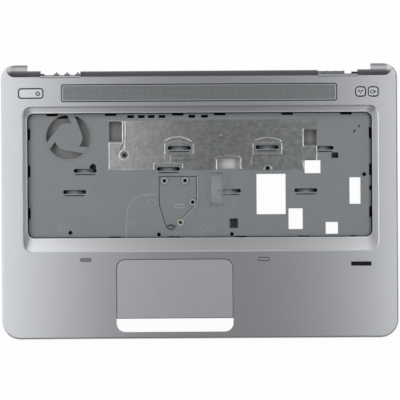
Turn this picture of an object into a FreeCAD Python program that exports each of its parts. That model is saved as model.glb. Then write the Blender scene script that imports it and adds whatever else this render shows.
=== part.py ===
"""Top cover assembly of a 14 inch notebook: palm rest, keyboard bay, speaker grille and buttons.

Millimetres. +X is to the right and +Y is towards the display hinges, as the user sees it.
+Z is up, and z = 0 is the lower edge of the skirt, on which the part rests.
The origin is the middle of the plan outline.
"""
import FreeCAD, Part
import math
import os

Vector = FreeCAD.Vector
UP = Vector(0, 0, 1)

# Plan: margins and keyboard bay add up to the width, palm rest, bay and back strip to the depth
BAY_FROM_LEFT = 17.5
BAY_LENGTH_X = 304.5
BAY_FROM_RIGHT = 16.0
PALM_DEPTH = 74.1
BAY_LENGTH_Y = 124.3
BAY_FROM_REAR = 35.6
WIDTH = BAY_FROM_LEFT + BAY_LENGTH_X + BAY_FROM_RIGHT
DEPTH = PALM_DEPTH + BAY_LENGTH_Y + BAY_FROM_REAR

# Moulded cover: height and walls
DECK_Z = 12.0
DECK_WALL = 1.8
SKIRT_WALL = 2.0
FRONT_CORNER_R = 15.5
BACK_CORNER_R = 12.0
EDGE_BEVEL = 1.1
EDGE_SECOND_BEVEL = 0.4
LEFT = -WIDTH / 2
RIGHT = WIDTH / 2
FRONT = -DEPTH / 2
REAR = DEPTH / 2
UNDER_DECK = DECK_Z - DECK_WALL
CUT_PAST = 1.0
SMALL_SIDES = 12

# Barrel trough along the back edge, where the display hinge turns
TROUGH_R = 7.0
TROUGH_WALL = 1.6
TROUGH_DEPTH = 10.5
TROUGH_AXIS_RISE = 0.5
TROUGH_END_MARGIN = 4.8
CUP_LENGTH = 17.4
SHOULDER_LENGTH = 11.4
SHOULDER_BACK = 4.9
STRIP_BACK = 6.4
REAR_GAP_WIDTH = 34.0
LEDGE_WIDTH = 1.7
LEDGE_HEIGHT = 2.4
LEDGE_POST_START = 11.7
LEDGE_POST_PITCH = 9.1
LEDGE_POST_LENGTH = 4.4
LEDGE_POST_STEP = 1.2
LEDGE_POST_REACH = 4.2
DECK_REAR = REAR - TROUGH_DEPTH

# Keyboard bay: a small step at the rim, a shallow bevel, straight walls and a floor
BAY_TOP_R = 8.5
BAY_FLOOR_R = 6.0
BEVEL_LEFT = 4.6
BEVEL_RIGHT = 5.7
BEVEL_BACK = 5.7
BEVEL_FRONT = 11.9
BEVEL_DROP = 1.4
RIM_STEP_WIDTH = 0.9
RIM_STEP_DROP = 0.4
BAY_WALL = 1.4
BAY_DEPTH = 6.0
FLOOR_WALL = 1.2
BAY_X0 = LEFT + BAY_FROM_LEFT
BAY_X1 = RIGHT - BAY_FROM_RIGHT
BAY_Y0 = FRONT + PALM_DEPTH
BAY_Y1 = BAY_Y0 + BAY_LENGTH_Y
FLOOR_X0 = BAY_X0 + BEVEL_LEFT
FLOOR_X1 = BAY_X1 - BEVEL_RIGHT
FLOOR_Y0 = BAY_Y0 + BEVEL_FRONT
FLOOR_Y1 = BAY_Y1 - BEVEL_BACK
FLOOR_Z = DECK_Z - BAY_DEPTH
UNDER_FLOOR = FLOOR_Z - FLOOR_WALL
STRIP_SHARE = 0.4482
STRIP_Y = BAY_Y1 + STRIP_SHARE * (DECK_REAR - BAY_Y1)

# Places on the bay floor are shares of its width, from the left, and of its length, from the front.
# Latch slots round the bay walls, and vents beside the back wall
LATCH_LENGTH = 9.8
LATCH_WIDTH = 2.3
BACK_LATCHES = (0.072, 0.242, 0.437, 0.559, 0.755, 0.926)
SIDE_LATCHES = (0.832, 0.539, 0.197)
FRONT_LATCHES = (0.254, 0.425, 0.618, 0.801)
FRONT_SHORT_LATCH = 0.946
FRONT_SHORT_LATCH_LENGTH = 5.4
FRONT_LATCH_WIDTH = 1.2
SIDE_NOTCH = 0.392
SIDE_NOTCH_LENGTH = 3.9
VENT_LENGTH = 5.7
VENT_WIDTH = 2.4
VENT_FROM_BACK = 3.0
BACK_VENTS = (0.300, 0.331, 0.360, 0.391, 0.478, 0.515)

# Spring fingers: a slot with a thin slit below it leaves a strip that gives
FINGER_SLOT_LENGTH = 19.6
FINGER_SLOT_WIDTH = 3.2
FINGER_SLOT_CORNER = 0.9
FINGER_SLIT_LENGTH = 17.0
FINGER_SLIT_WIDTH = 0.8
FINGER_STRIP = 1.2
LEFT_FINGERS = ((0.167, 0.540), (0.136, 0.371))
PLATE_FINGERS = ((0.441, 0.719), (0.409, 0.551), (0.696, 0.721))
RIGHT_FINGERS = ((0.586, 0.373), (0.856, 0.713), (0.808, 0.374))
LOBE_FROM_FINGER = (6.7, 3.0)
LOBE_R = 2.8

# Fan inlet: three swirled openings round a hub
FAN_FROM_LEFT = 34.9
FAN_FROM_BACK = 20.2
FAN_R = 19.0
FAN_HUB_R = 12.0
FAN_BLADES = 3
FAN_RIM_START = 73.0
FAN_RIM_END = -27.0
FAN_HUB_START = -42.0
FAN_HUB_END = 5.0
FAN_BEAD_WIDTH = 1.2
FAN_BEAD_HEIGHT = 0.4
FAN_X = FLOOR_X0 + FAN_FROM_LEFT
FAN_Y = FLOOR_Y1 - FAN_FROM_BACK

# Windows through the bay floor: share of width, share of length, size along X and along Y
CABLE_WINDOW = (0.707, 0.345, 24.8, 34.4)
MODULE_WINDOW = (0.778, 0.146, 12.1, 17.7)
SMALL_WINDOW = (0.883, 0.071, 10.5, 10.0)
RIGHT_WINDOW = (0.951, 0.369, 9.4, 22.6)
PLATE_WINDOW = (0.828, 0.562, 13.5, 11.0)
ACCESS_HOLE = (0.598, 0.113, 7.2, 8.2)
SQUARE_HOLE = (0.893, 0.654, 5.9, 4.8)

# Sunken pocket with ring studs, its outline and contents measured from its front left corner
SINK_DEPTH = 0.8
POCKET_CORNER = (0.400, 0.087)
POCKET_OUTLINE = (
    (-5.9, 43.4),
    (26.8, 43.4),
    (26.8, 19.8),
    (14.9, 8.0),
    (8.8, 0.0),
    (0.0, 0.0),
    (-5.9, 19.1),
)
POCKET_STUDS = ((-0.9, 39.4), (16.7, 39.5), (23.2, 21.0))
STUD_R = 3.2
STUD_HOLE_R = 1.4
POCKET_TAB = (6.5, 16.3, 15.7, 19.4)
POCKET_TAB_HEIGHT = 0.5
INSERT_FROM_CORNER = (12.7, 3.7)
INSERT_RING_R = 3.0
INSERT_RING_HEIGHT = 0.3
OVAL_BOSS = (0.3, 8.7, -3.1, 2.5)
OVAL_BOSS_HEIGHT = 0.4

# Scoop in the floor with a round bottom, and the clear film over it, in front of the shield plate
SCOOP_MIDDLE = 0.548
SCOOP_LENGTH = 10.9
SCOOP_WIDTH = 28.8
SCOOP_DEPTH = 1.1
TAPE_PAST_LEFT = 10.4
TAPE_PAST_RIGHT = 7.1
TAPE_PAST_ENDS = 0.9
TAPE_FROM_PLATE = 1.0
TAPE_WALL = 0.1

# Screw holes for the keyboard, each over a hollow post
KEY_SCREW_MIDDLE = 0.4864
KEY_SCREW_PITCH = 62.4
KEY_SCREW_FROM_FRONT = 2.8
LEFT_SCREW = 0.123
LEFT_SCREW_FROM_FRONT = 4.7
RIGHT_SCREW = 0.500
RIGHT_SCREW_FROM_RIGHT = 6.5
SCREW_HOLE_R = 1.7
POST_R = 3.2
POST_FOOT_Z = 1.0

# Corner bosses with brass inserts, where the lower case is screwed on from below
BOSS_FROM_SIDE = 9.5
BOSS_FRONT_FROM_EDGE = 12.0
BOSS_FROM_BOARD = 3.45
BOSS_FROM_PAD = 16.2
BOSS_R = 3.2
BOSS_FOOT_Z = 1.0
INSERT_R = 1.9
INSERT_BORE_R = 1.1
INSERT_LENGTH = 4.0

# Stiffening ribs and snap hooks on the hidden side
RIB_WALL = 1.2
RIB_HEIGHT = 2.4
PALM_RIB_PITCH = 26.0
PALM_RIB_FROM_PAD = 20.0
PALM_RIB_FROM_SIDE = 14.0
PALM_RIB_FROM_BAY = 9.0
PALM_RIB_FROM_FRONT = 16.0
HOOK_LENGTH = 8.0
HOOK_REACH = 1.0
HOOK_HEIGHT = 1.2
HOOK_Z = 2.0
FRONT_HOOKS = 7
FRONT_HOOK_FROM_SIDE = 34.0
SIDE_HOOKS = 4
SIDE_HOOK_FROM_FRONT = 32.0
SIDE_HOOK_FROM_REAR = 82.0

# Speaker grille across the deck behind the keyboard
GRILLE_FROM_SIDE = 51.7
GRILLE_FROM_BAY = 4.05
GRILLE_R = 2.1
GRILLE_WALL = 1.0
GRILLE_SINK = 0.15
GRILLE_GAP = 0.4
GRILLE_SEAT = 1.6
GRILLE_BORDER = 2.6
MESH_WALL = 0.3
MESH_MARGIN = 0.6
PERF_PITCH = 7.8
PERF_SIZE = 5.0
GRILLE_LENGTH = WIDTH - 2 * GRILLE_FROM_SIDE
GRILLE_WIDTH = 2 * (STRIP_Y - BAY_Y1 - GRILLE_FROM_BAY)
GRILLE_X = (LEFT + RIGHT) / 2
GRILLE_TOP = DECK_Z - GRILLE_SINK
GRILLE_UNDER = GRILLE_TOP - GRILLE_WALL

# Buttons: caps that sink a little, each over a tact switch
BUTTON_GAP = 0.8
BUTTON_R = 2.0
BUTTON_TRAVEL = 0.4
BUTTON_BEVEL = 0.3
LIP_REACH = 1.2
LIP_HEIGHT = 0.9
LIP_GAP = 0.3
CAP_HEIGHT = 3.0
STEM_R = 1.5
POWER_LENGTH = 20.2
POWER_WIDTH = 7.5
POWER_FROM_LEFT = 25.6
QUICK_LENGTH = 7.7
QUICK_WIDTH = 7.3
QUICK_PITCH = 10.8
MUTE_FROM_RIGHT = 20.6
POWER_X = LEFT + POWER_FROM_LEFT
MUTE_X = RIGHT - MUTE_FROM_RIGHT
WIRELESS_X = MUTE_X - QUICK_PITCH
CAP_BASE_Z = DECK_Z - CAP_HEIGHT

# Tact switches and the boards that carry them
SWITCH_SIDE = 6.0
SWITCH_HEIGHT = 2.4
PLUNGER_R = 1.0
PLUNGER_STANDOUT = 0.7
PLUNGER_IN_SWITCH = 0.9
PLUNGER_CLEARANCE = 0.3
BOARD_WALL = 1.0
BOARD_TOP_Z = 4.6
BOARD_WIDTH = 8.0
BOARD_POST_R = 1.7
BOARD_POST_OUT = 2.6
BOARD_END = 2.4
PLUNGER_TOP_Z = BOARD_TOP_Z + SWITCH_HEIGHT + PLUNGER_STANDOUT

# Small screws that hold the boards and the touchpad bracket
SCREW_R = 0.8
SCREW_BITE = 3.0
SCREW_HEAD_R = 1.6
SCREW_HEAD_HEIGHT = 0.9

# Touchpad: sheet, board, connector and steel bracket, with an open gap for lost buttons
PAD_FROM_LEFT = 97.6
PAD_WIDTH = 99.6
PAD_FROM_FRONT = 5.8
PAD_FROM_BAY = 6.1
PAD_BUTTON_GAP = 11.5
PAD_R = 7.5
PAD_GAP = 0.25
PAD_SINK = 0.6
PAD_SHEET_WALL = 1.0
PAD_BOARD_WALL = 1.2
PAD_BOARD_MARGIN = 2.0
BRACKET_WALL = 0.8
BRACKET_MARGIN = 6.0
EAR_WIDTH = 9.0
EAR_REACH = 7.0
EAR_FROM_END = 12.0
PAD_BOSS_R = 2.4
CONNECTOR_LENGTH = 14.0
CONNECTOR_WIDTH = 4.0
CONNECTOR_HEIGHT = 1.6
CONNECTOR_MARGIN = 2.0
MOUTH_MARGIN = 1.0
MOUTH_HEIGHT = 0.4
MOUTH_FROM_BOARD = 0.6
PAD_X0 = LEFT + PAD_FROM_LEFT
PAD_X1 = PAD_X0 + PAD_WIDTH
PAD_Y0 = FRONT + PAD_FROM_FRONT
PAD_Y1 = BAY_Y0 - PAD_FROM_BAY
PAD_X = (PAD_X0 + PAD_X1) / 2
SHEET_Y0 = PAD_Y0 + PAD_BUTTON_GAP
SHEET_TOP = DECK_Z - PAD_SINK
SHEET_UNDER = SHEET_TOP - PAD_SHEET_WALL
PAD_BOARD_UNDER = SHEET_UNDER - PAD_BOARD_WALL
BRACKET_UNDER = PAD_BOARD_UNDER - BRACKET_WALL

# Fingerprint reader and lid bumpers on the palm rest
PRINT_X_FROM_RIGHT = 31.7
PRINT_Y_FROM_BAY = 11.0
PRINT_SLOT_LENGTH = 17.4
PRINT_SLOT_WIDTH = 3.6
PRINT_GAP = 0.2
PRINT_SINK = 0.7
PRINT_FLANGE = 1.6
PRINT_FLANGE_HEIGHT = 1.2
PRINT_BOARD_MARGIN = 3.0
PRINT_BOARD_WALL = 0.8
PRINT_CLEARANCE = 1.5
BUMPER_FROM_BAY = 6.5
BUMPER_FROM_PAD = 26.0
BUMPER_LENGTH = 10.0
BUMPER_WIDTH = 3.2
BUMPER_SINK = 0.6
BUMPER_STANDOUT = 0.5
BUMPER_CLEARANCE = 0.1
PRINT_X = RIGHT - PRINT_X_FROM_RIGHT
PRINT_Y = BAY_Y0 - PRINT_Y_FROM_BAY
BUMPER_Y = BAY_Y0 - BUMPER_FROM_BAY
LEFT_BUMPER_X = PAD_X0 - BUMPER_FROM_PAD
RIGHT_BUMPER_X = PAD_X1 + BUMPER_FROM_PAD

# Stamped shield plate that lies on the bay floor
PLATE_FROM_LEFT = 69.4
PLATE_FROM_RIGHT = 46.6
PLATE_FROM_BACK = 6.3
PLATE_DEPTH = 42.5
PLATE_WALL = 0.4
PLATE_FLANGE = 0.9
PLATE_X0 = FLOOR_X0 + PLATE_FROM_LEFT
PLATE_X1 = FLOOR_X1 - PLATE_FROM_RIGHT
PLATE_Y1 = FLOOR_Y1 - PLATE_FROM_BACK
PLATE_Y0 = PLATE_Y1 - PLATE_DEPTH
LEFT_NOTCH_LENGTH = 11.5
LEFT_NOTCH_FROM_BACK = 0.6
LEFT_NOTCH_DEPTH = 18.1
RIGHT_NOTCH_LENGTH = 11.6
RIGHT_NOTCH_FROM_BACK = 8.5
RIGHT_NOTCH_DEPTH = 14.1
FRONT_NOTCH_MIDDLE = 0.583
FRONT_NOTCH_LENGTH = 19.0
FRONT_NOTCH_DEPTH = 10.2
NOTCH_SIDE_MARGIN = 0.3
NOTCH_FRONT_MARGIN = 0.8
FINGER_WINDOW_LENGTH = 23.4
FINGER_WINDOW_BACK = 3.6
FINGER_WINDOW_FRONT = 5.4
ARCH_R = 30.0
ARCH_WIDTH = 1.4
ARCH_HEIGHT = 0.4
ARCH_OFFSET = 3.0
PLATE_SCREW_FROM_LEFT = 13.3
PLATE_SCREW_FROM_BACK = 29.6
REAR_PLATE_SCREW = 0.697
REAR_PLATE_SCREW_FROM_FRONT = 1.0
RING_R = 4.4
RING_INNER_R = 3.0
RING_HEIGHT = 0.4

# Cable guide clipped into the right-hand gap of the back edge
GUIDE_LENGTH = 22.7
GUIDE_BACK = 4.2
GUIDE_HEIGHT = 5.4
GUIDE_WALL = 1.2
GUIDE_RIBS = 4

os.makedirs("parts", exist_ok=True)


def save(shape, node):
    """Write one sub-part under its node name."""
    shape.exportStep("parts/" + node + ".step")


def box(x0, x1, y0, y1, z0, z1):
    """A block between two corners."""
    return Part.makeBox(x1 - x0, y1 - y0, z1 - z0, Vector(x0, y0, z0))


def disc(x, y, radius, z0, z1):
    """An upright cylinder."""
    return Part.makeCylinder(radius, z1 - z0, Vector(x, y, z0), UP)


def prism(x, y, radius, z0, z1):
    """A small post or hole with flat sides, as wide across them as a round one."""
    corner_r = radius / math.cos(math.pi / SMALL_SIDES)
    angles = [2 * math.pi * (k + 0.5) / SMALL_SIDES for k in range(SMALL_SIDES)]
    points = [(x + corner_r * math.cos(a), y + corner_r * math.sin(a)) for a in angles]
    return polygon_slab(points, z0, z1)


def ring(x, y, outer, inner, z0, z1):
    """An upright tube."""
    return disc(x, y, outer, z0, z1).cut(disc(x, y, inner, z0, z1))


def polygon_face(points, z):
    """A flat face through a closed line of plan points."""
    corners = [Vector(x, y, z) for x, y in points]
    return Part.Face(Part.makePolygon(corners + corners[:1]))


def polygon_slab(points, z0, z1):
    """A flat-sided slab over a plan outline."""
    return polygon_face(points, z0).extrude(UP * (z1 - z0))


def corner_arc(x, y, radius, start, z):
    """A quarter circle in plan that starts at the angle start, in degrees."""
    circle = Part.Circle(Vector(x, y, z), UP, radius)
    return Part.Arc(circle, math.radians(start), math.radians(start + 90)).toShape()


def rounded_wire(x0, x1, y0, y1, radii, z):
    """A rectangle with its own radius at the front-left, front-right, back-right and back-left."""
    front_left, front_right, back_right, back_left = radii
    edges = [
        corner_arc(x0 + front_left, y0 + front_left, front_left, 180, z),
        Part.makeLine(Vector(x0 + front_left, y0, z), Vector(x1 - front_right, y0, z)),
        corner_arc(x1 - front_right, y0 + front_right, front_right, 270, z),
        Part.makeLine(Vector(x1, y0 + front_right, z), Vector(x1, y1 - back_right, z)),
        corner_arc(x1 - back_right, y1 - back_right, back_right, 0, z),
        Part.makeLine(Vector(x1 - back_right, y1, z), Vector(x0 + back_left, y1, z)),
        corner_arc(x0 + back_left, y1 - back_left, back_left, 90, z),
        Part.makeLine(Vector(x0, y1 - back_left, z), Vector(x0, y0 + front_left, z)),
    ]
    return Part.Wire(edges)


def rounded_slab(x0, x1, y0, y1, radius, z0, z1):
    """A slab with four equal round corners."""
    wire = rounded_wire(x0, x1, y0, y1, (radius,) * 4, z0)
    return Part.Face(wire).extrude(UP * (z1 - z0))


def centred_slab(x, y, length, width, radius, z0, z1):
    """A rounded slab given by its middle, its length along X and its width along Y."""
    return rounded_slab(x - length / 2, x + length / 2, y - width / 2, y + width / 2, radius, z0, z1)


def slot(x, y, length, width, z0, z1):
    """A slab with half-round ends, along X."""
    straight = (length - width) / 2
    start = disc(x - straight, y, width / 2, z0, z1)
    end = disc(x + straight, y, width / 2, z0, z1)
    middle = box(x - straight, x + straight, y - width / 2, y + width / 2, z0, z1)
    return start.fuse([end, middle]).removeSplitter()


def floor_x(share):
    """X of a place on the bay floor, from its share of the floor's width."""
    return FLOOR_X0 + share * (FLOOR_X1 - FLOOR_X0)


def floor_y(share):
    """Y of a place on the bay floor, from its share of the floor's length."""
    return FLOOR_Y0 + share * (FLOOR_Y1 - FLOOR_Y0)


def floor_box(place, z0, z1):
    """A block on the bay floor, given by the shares of its middle and its two sizes."""
    u, v, length, width = place
    x = floor_x(u)
    y = floor_y(v)
    return box(x - length / 2, x + length / 2, y - width / 2, y + width / 2, z0, z1)


def finger_spots(places):
    """Plan points of spring fingers."""
    return [(floor_x(u), floor_y(v)) for u, v in places]


def pocket_point(x, y):
    """A plan point measured from the front left corner of the stud pocket."""
    return floor_x(POCKET_CORNER[0]) + x, floor_y(POCKET_CORNER[1]) + y


def key_screw_spots():
    """The two keyboard screws along the front of the bay."""
    y = FLOOR_Y0 + KEY_SCREW_FROM_FRONT
    middle = floor_x(KEY_SCREW_MIDDLE)
    return [(middle - KEY_SCREW_PITCH / 2, y), (middle + KEY_SCREW_PITCH / 2, y)]


def side_screw_spots():
    """The screws at the left front and at the right of the bay."""
    left = (floor_x(LEFT_SCREW), FLOOR_Y0 + LEFT_SCREW_FROM_FRONT)
    right = (FLOOR_X1 - RIGHT_SCREW_FROM_RIGHT, floor_y(RIGHT_SCREW))
    return [left, right]


def plate_screw_spots():
    """The two screws of the shield plate."""
    ringed = (PLATE_X0 + PLATE_SCREW_FROM_LEFT, PLATE_Y1 - PLATE_SCREW_FROM_BACK)
    front = (floor_x(REAR_PLATE_SCREW), PLATE_Y0 + REAR_PLATE_SCREW_FROM_FRONT)
    return [ringed, front]


def joined(shapes):
    """One solid from shapes that touch or overlap."""
    return shapes[0].fuse(shapes[1:]).removeSplitter()


def top_edges(shape, z):
    """The edges that lie wholly at height z."""
    return [e for e in shape.Edges if abs(e.BoundBox.ZMin - z) < 1e-6 and abs(e.BoundBox.ZMax - z) < 1e-6]


def barrel(radius, x0, x1):
    """A cylinder along the axis of the hinge trough."""
    start = Vector(x0, DECK_REAR + TROUGH_R, DECK_Z + TROUGH_AXIS_RISE)
    return Part.makeCylinder(radius, x1 - x0, start, Vector(1, 0, 0))


def trough_space():
    """The body that the hinge barrel sweeps: a cylinder along X with ball ends."""
    x0 = LEFT + TROUGH_END_MARGIN + TROUGH_R
    x1 = RIGHT - TROUGH_END_MARGIN - TROUGH_R
    y = DECK_REAR + TROUGH_R
    z = DECK_Z + TROUGH_AXIS_RISE
    ends = [Part.makeSphere(TROUGH_R, Vector(x, y, z)) for x in (x0, x1)]
    return barrel(TROUGH_R, x0, x1).fuse(ends)


def trough_material():
    """The wall round the hinge trough, solid past its ball ends."""
    x0 = LEFT + TROUGH_END_MARGIN - TROUGH_WALL
    x1 = RIGHT - TROUGH_END_MARGIN + TROUGH_WALL
    return barrel(TROUGH_R + TROUGH_WALL, x0, x1)


def outer_block():
    """The full outline up to the deck, with its upper rim bevelled twice so that it is nearly round."""
    radii = (FRONT_CORNER_R, FRONT_CORNER_R, BACK_CORNER_R, BACK_CORNER_R)
    block = Part.Face(rounded_wire(LEFT, RIGHT, FRONT, REAR, radii, 0)).extrude(UP * DECK_Z)
    block = block.makeChamfer(EDGE_BEVEL, top_edges(block, DECK_Z))
    rims = top_edges(block, DECK_Z) + top_edges(block, DECK_Z - EDGE_BEVEL)
    return block.makeChamfer(EDGE_SECOND_BEVEL, rims)


def inner_cavity():
    """The hollow under the deck."""
    w = SKIRT_WALL
    radii = (FRONT_CORNER_R - w, FRONT_CORNER_R - w, BACK_CORNER_R - w, BACK_CORNER_R - w)
    wire = rounded_wire(LEFT + w, RIGHT - w, FRONT + w, REAR - w, radii, -CUT_PAST)
    return Part.Face(wire).extrude(UP * (UNDER_DECK + CUT_PAST))


def bay_rim_wire(z, inset=0.0):
    """The rim of the bay, or the line on the bevel at inset from it."""
    radii = (BAY_TOP_R - inset,) * 4
    return rounded_wire(BAY_X0 + inset, BAY_X1 - inset, BAY_Y0 + inset, BAY_Y1 - inset, radii, z)


def bay_floor_wire(z, grow=0.0):
    """The foot of the bevel, which is also the plan of the straight walls."""
    radii = (BAY_FLOOR_R + grow,) * 4
    return rounded_wire(FLOOR_X0 - grow, FLOOR_X1 + grow, FLOOR_Y0 - grow, FLOOR_Y1 + grow, radii, z)


def bevel_frustum(drop):
    """The space between rim, step and walls, lowered by drop."""
    rim = bay_rim_wire(DECK_Z - drop)
    step = bay_rim_wire(DECK_Z - RIM_STEP_DROP - drop, RIM_STEP_WIDTH)
    foot = bay_floor_wire(DECK_Z - BEVEL_DROP - drop)
    return Part.makeLoft([foot, step, rim], True, True)


def bay_material():
    """The bevel, walls and floor of the keyboard bay, before it is hollowed."""
    wall_top = DECK_Z - BEVEL_DROP - DECK_WALL / 2
    walls = Part.Face(bay_floor_wire(UNDER_FLOOR, BAY_WALL)).extrude(UP * (wall_top - UNDER_FLOOR))
    return [bevel_frustum(DECK_WALL), walls]


def bay_space():
    """What is removed above the bay floor."""
    foot_z = DECK_Z - BEVEL_DROP
    walls = Part.Face(bay_floor_wire(FLOOR_Z)).extrude(UP * (foot_z - FLOOR_Z))
    return [bevel_frustum(0.0), walls]


def rear_cuts():
    """The steps of the back edge: cups at both ends, shoulders, strip and two gaps."""
    cup_left = LEFT + TROUGH_END_MARGIN + CUP_LENGTH
    cup_right = RIGHT - TROUGH_END_MARGIN - CUP_LENGTH
    gap_left = cup_left + SHOULDER_LENGTH
    gap_right = cup_right - SHOULDER_LENGTH
    z0 = -CUT_PAST
    z1 = DECK_Z + CUT_PAST
    y1 = REAR + CUT_PAST
    shoulders = box(cup_left, cup_right, REAR - SHOULDER_BACK, y1, z0, z1)
    strip = box(gap_left, gap_right, REAR - STRIP_BACK, y1, z0, z1)
    gaps = [
        box(gap_left, gap_left + REAR_GAP_WIDTH, DECK_REAR, y1, z0, z1),
        box(gap_right - REAR_GAP_WIDTH, gap_right, DECK_REAR, y1, z0, z1),
    ]
    return [shoulders, strip] + gaps


def rear_gap_spans():
    """Left and right edge of the two gaps in the back strip."""
    gap_left = LEFT + TROUGH_END_MARGIN + CUP_LENGTH + SHOULDER_LENGTH
    gap_right = RIGHT - TROUGH_END_MARGIN - CUP_LENGTH - SHOULDER_LENGTH
    return (gap_left, gap_left + REAR_GAP_WIDTH), (gap_right - REAR_GAP_WIDTH, gap_right)


def rear_ledges():
    """Narrow ledges across the gaps, with the stub posts of the left one."""
    solids = []
    z1 = UNDER_DECK
    z0 = z1 - LEDGE_HEIGHT
    bite = TROUGH_WALL
    for x0, x1 in rear_gap_spans():
        solids.append(box(x0, x1, DECK_REAR - bite, DECK_REAR + LEDGE_WIDTH, z0, z1))
    first = rear_gap_spans()[0][0] + LEDGE_POST_START
    count = int((REAR_GAP_WIDTH - LEDGE_POST_START) / LEDGE_POST_PITCH) + 1
    step_y = DECK_REAR + LEDGE_WIDTH + LEDGE_POST_STEP
    post_y = DECK_REAR + LEDGE_POST_REACH
    for k in range(count):
        x = first + k * LEDGE_POST_PITCH
        middle = x + LEDGE_POST_LENGTH / 2
        solids.append(box(x, x + LEDGE_POST_LENGTH, DECK_REAR, step_y, z0, z1))
        solids.append(box(middle - RIB_WALL / 2, middle + RIB_WALL / 2, DECK_REAR, post_y, z0, z1))
    return solids


def wall_latches():
    """Slots in the floor along the bay walls that take the keyboard's tongues."""
    z0 = UNDER_FLOOR - CUT_PAST
    z1 = FLOOR_Z + CUT_PAST
    half = LATCH_LENGTH / 2
    cuts = []
    for x in [floor_x(share) for share in BACK_LATCHES]:
        cuts.append(box(x - half, x + half, FLOOR_Y1 - LATCH_WIDTH, FLOOR_Y1, z0, z1))
    for y in [floor_y(share) for share in SIDE_LATCHES]:
        cuts.append(box(FLOOR_X0, FLOOR_X0 + LATCH_WIDTH, y - half, y + half, z0, z1))
        cuts.append(box(FLOOR_X1 - LATCH_WIDTH, FLOOR_X1, y - half, y + half, z0, z1))
    y = floor_y(SIDE_NOTCH)
    notch = SIDE_NOTCH_LENGTH / 2
    cuts.append(box(FLOOR_X1 - LATCH_WIDTH, FLOOR_X1, y - notch, y + notch, z0, z1))
    front = [(share, LATCH_LENGTH) for share in FRONT_LATCHES]
    front.append((FRONT_SHORT_LATCH, FRONT_SHORT_LATCH_LENGTH))
    for share, length in front:
        x = floor_x(share)
        y1 = FLOOR_Y0 + FRONT_LATCH_WIDTH
        cuts.append(box(x - length / 2, x + length / 2, FLOOR_Y0 - BAY_WALL, y1, z0, FLOOR_Z + LATCH_WIDTH))
    return cuts


def back_vents():
    """The short slots near the back wall."""
    y = FLOOR_Y1 - VENT_FROM_BACK
    half = VENT_LENGTH / 2
    z0 = UNDER_FLOOR - CUT_PAST
    z1 = FLOOR_Z + CUT_PAST
    lines = [floor_x(share) for share in BACK_VENTS]
    return [box(x - half, x + half, y - VENT_WIDTH / 2, y + VENT_WIDTH / 2, z0, z1) for x in lines]


def finger_slot(x, y, z0, z1):
    """The long slot behind a finger, with cut corners."""
    length = FINGER_SLOT_LENGTH / 2
    width = FINGER_SLOT_WIDTH / 2
    flat = length - FINGER_SLOT_CORNER
    side = width - FINGER_SLOT_CORNER
    quarter = [(flat, width), (length, side)]
    right = quarter + [(px, -py) for px, py in reversed(quarter)]
    outline = right + [(-px, py) for px, py in reversed(right)]
    return polygon_slab([(x + px, y + py) for px, py in outline], z0, z1)


def finger_cuts():
    """The slot and slit of each spring finger."""
    z0 = UNDER_FLOOR - CUT_PAST
    z1 = FLOOR_Z + CUT_PAST
    step = FINGER_SLOT_WIDTH / 2 + FINGER_STRIP + FINGER_SLIT_WIDTH / 2
    half = FINGER_SLIT_LENGTH / 2
    cuts = []
    for x, y in finger_spots(LEFT_FINGERS + PLATE_FINGERS + RIGHT_FINGERS):
        slit_y0 = y - step - FINGER_SLIT_WIDTH / 2
        cuts.append(finger_slot(x, y, z0, z1))
        cuts.append(box(x - half, x + half, slit_y0, slit_y0 + FINGER_SLIT_WIDTH, z0, z1))
    x, y = finger_spots(LEFT_FINGERS)[0]
    cuts.append(prism(x + LOBE_FROM_FINGER[0], y + LOBE_FROM_FINGER[1], LOBE_R, z0, z1))
    return cuts


def polar(radius, degrees, z):
    """A point at a radius and angle from the fan's middle."""
    angle = math.radians(degrees)
    return Vector(FAN_X + radius * math.cos(angle), FAN_Y + radius * math.sin(angle), z)


def fan_opening(turn, z0, z1):
    """One swirled opening: rim arc, end edge, hub arc and a straight edge back to the rim."""
    rim_start = polar(FAN_R, FAN_RIM_START + turn, z0)
    rim_middle = polar(FAN_R, (FAN_RIM_START + FAN_RIM_END) / 2 + turn, z0)
    rim_end = polar(FAN_R, FAN_RIM_END + turn, z0)
    hub_start = polar(FAN_HUB_R, FAN_HUB_START + turn, z0)
    hub_middle = polar(FAN_HUB_R, (FAN_HUB_START + FAN_HUB_END) / 2 + turn, z0)
    hub_end = polar(FAN_HUB_R, FAN_HUB_END + turn, z0)
    edges = [
        Part.Arc(rim_start, rim_middle, rim_end).toShape(),
        Part.makeLine(rim_end, hub_start),
        Part.Arc(hub_start, hub_middle, hub_end).toShape(),
        Part.makeLine(hub_end, rim_start),
    ]
    return Part.Face(Part.Wire(edges)).extrude(UP * (z1 - z0))


def fan_cuts():
    """All the swirled openings of the fan inlet."""
    step = 360.0 / FAN_BLADES
    z0 = UNDER_FLOOR - CUT_PAST
    z1 = FLOOR_Z + FAN_BEAD_HEIGHT + CUT_PAST
    return [fan_opening(step * k, z0, z1) for k in range(FAN_BLADES)]


def window_cuts():
    """The windows through the bay floor."""
    z0 = UNDER_FLOOR - CUT_PAST
    z1 = FLOOR_Z + CUT_PAST
    windows = [CABLE_WINDOW, MODULE_WINDOW, SMALL_WINDOW, RIGHT_WINDOW]
    windows += [PLATE_WINDOW, ACCESS_HOLE, SQUARE_HOLE]
    return [floor_box(place, z0, z1) for place in windows]


def scoop_plan(grow):
    """The sides of the scoop in plan: left, right, front and back, moved out by grow."""
    x = floor_x(SCOOP_MIDDLE)
    half = SCOOP_LENGTH / 2 + grow
    back = PLATE_Y0 - TAPE_FROM_PLATE - TAPE_PAST_ENDS
    return x - half, x + half, back - SCOOP_WIDTH - grow, back + grow


def scoop_pad():
    """The thickened floor under the scoop."""
    return box(*scoop_plan(FLOOR_WALL), UNDER_FLOOR - SCOOP_DEPTH, UNDER_FLOOR)


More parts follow.
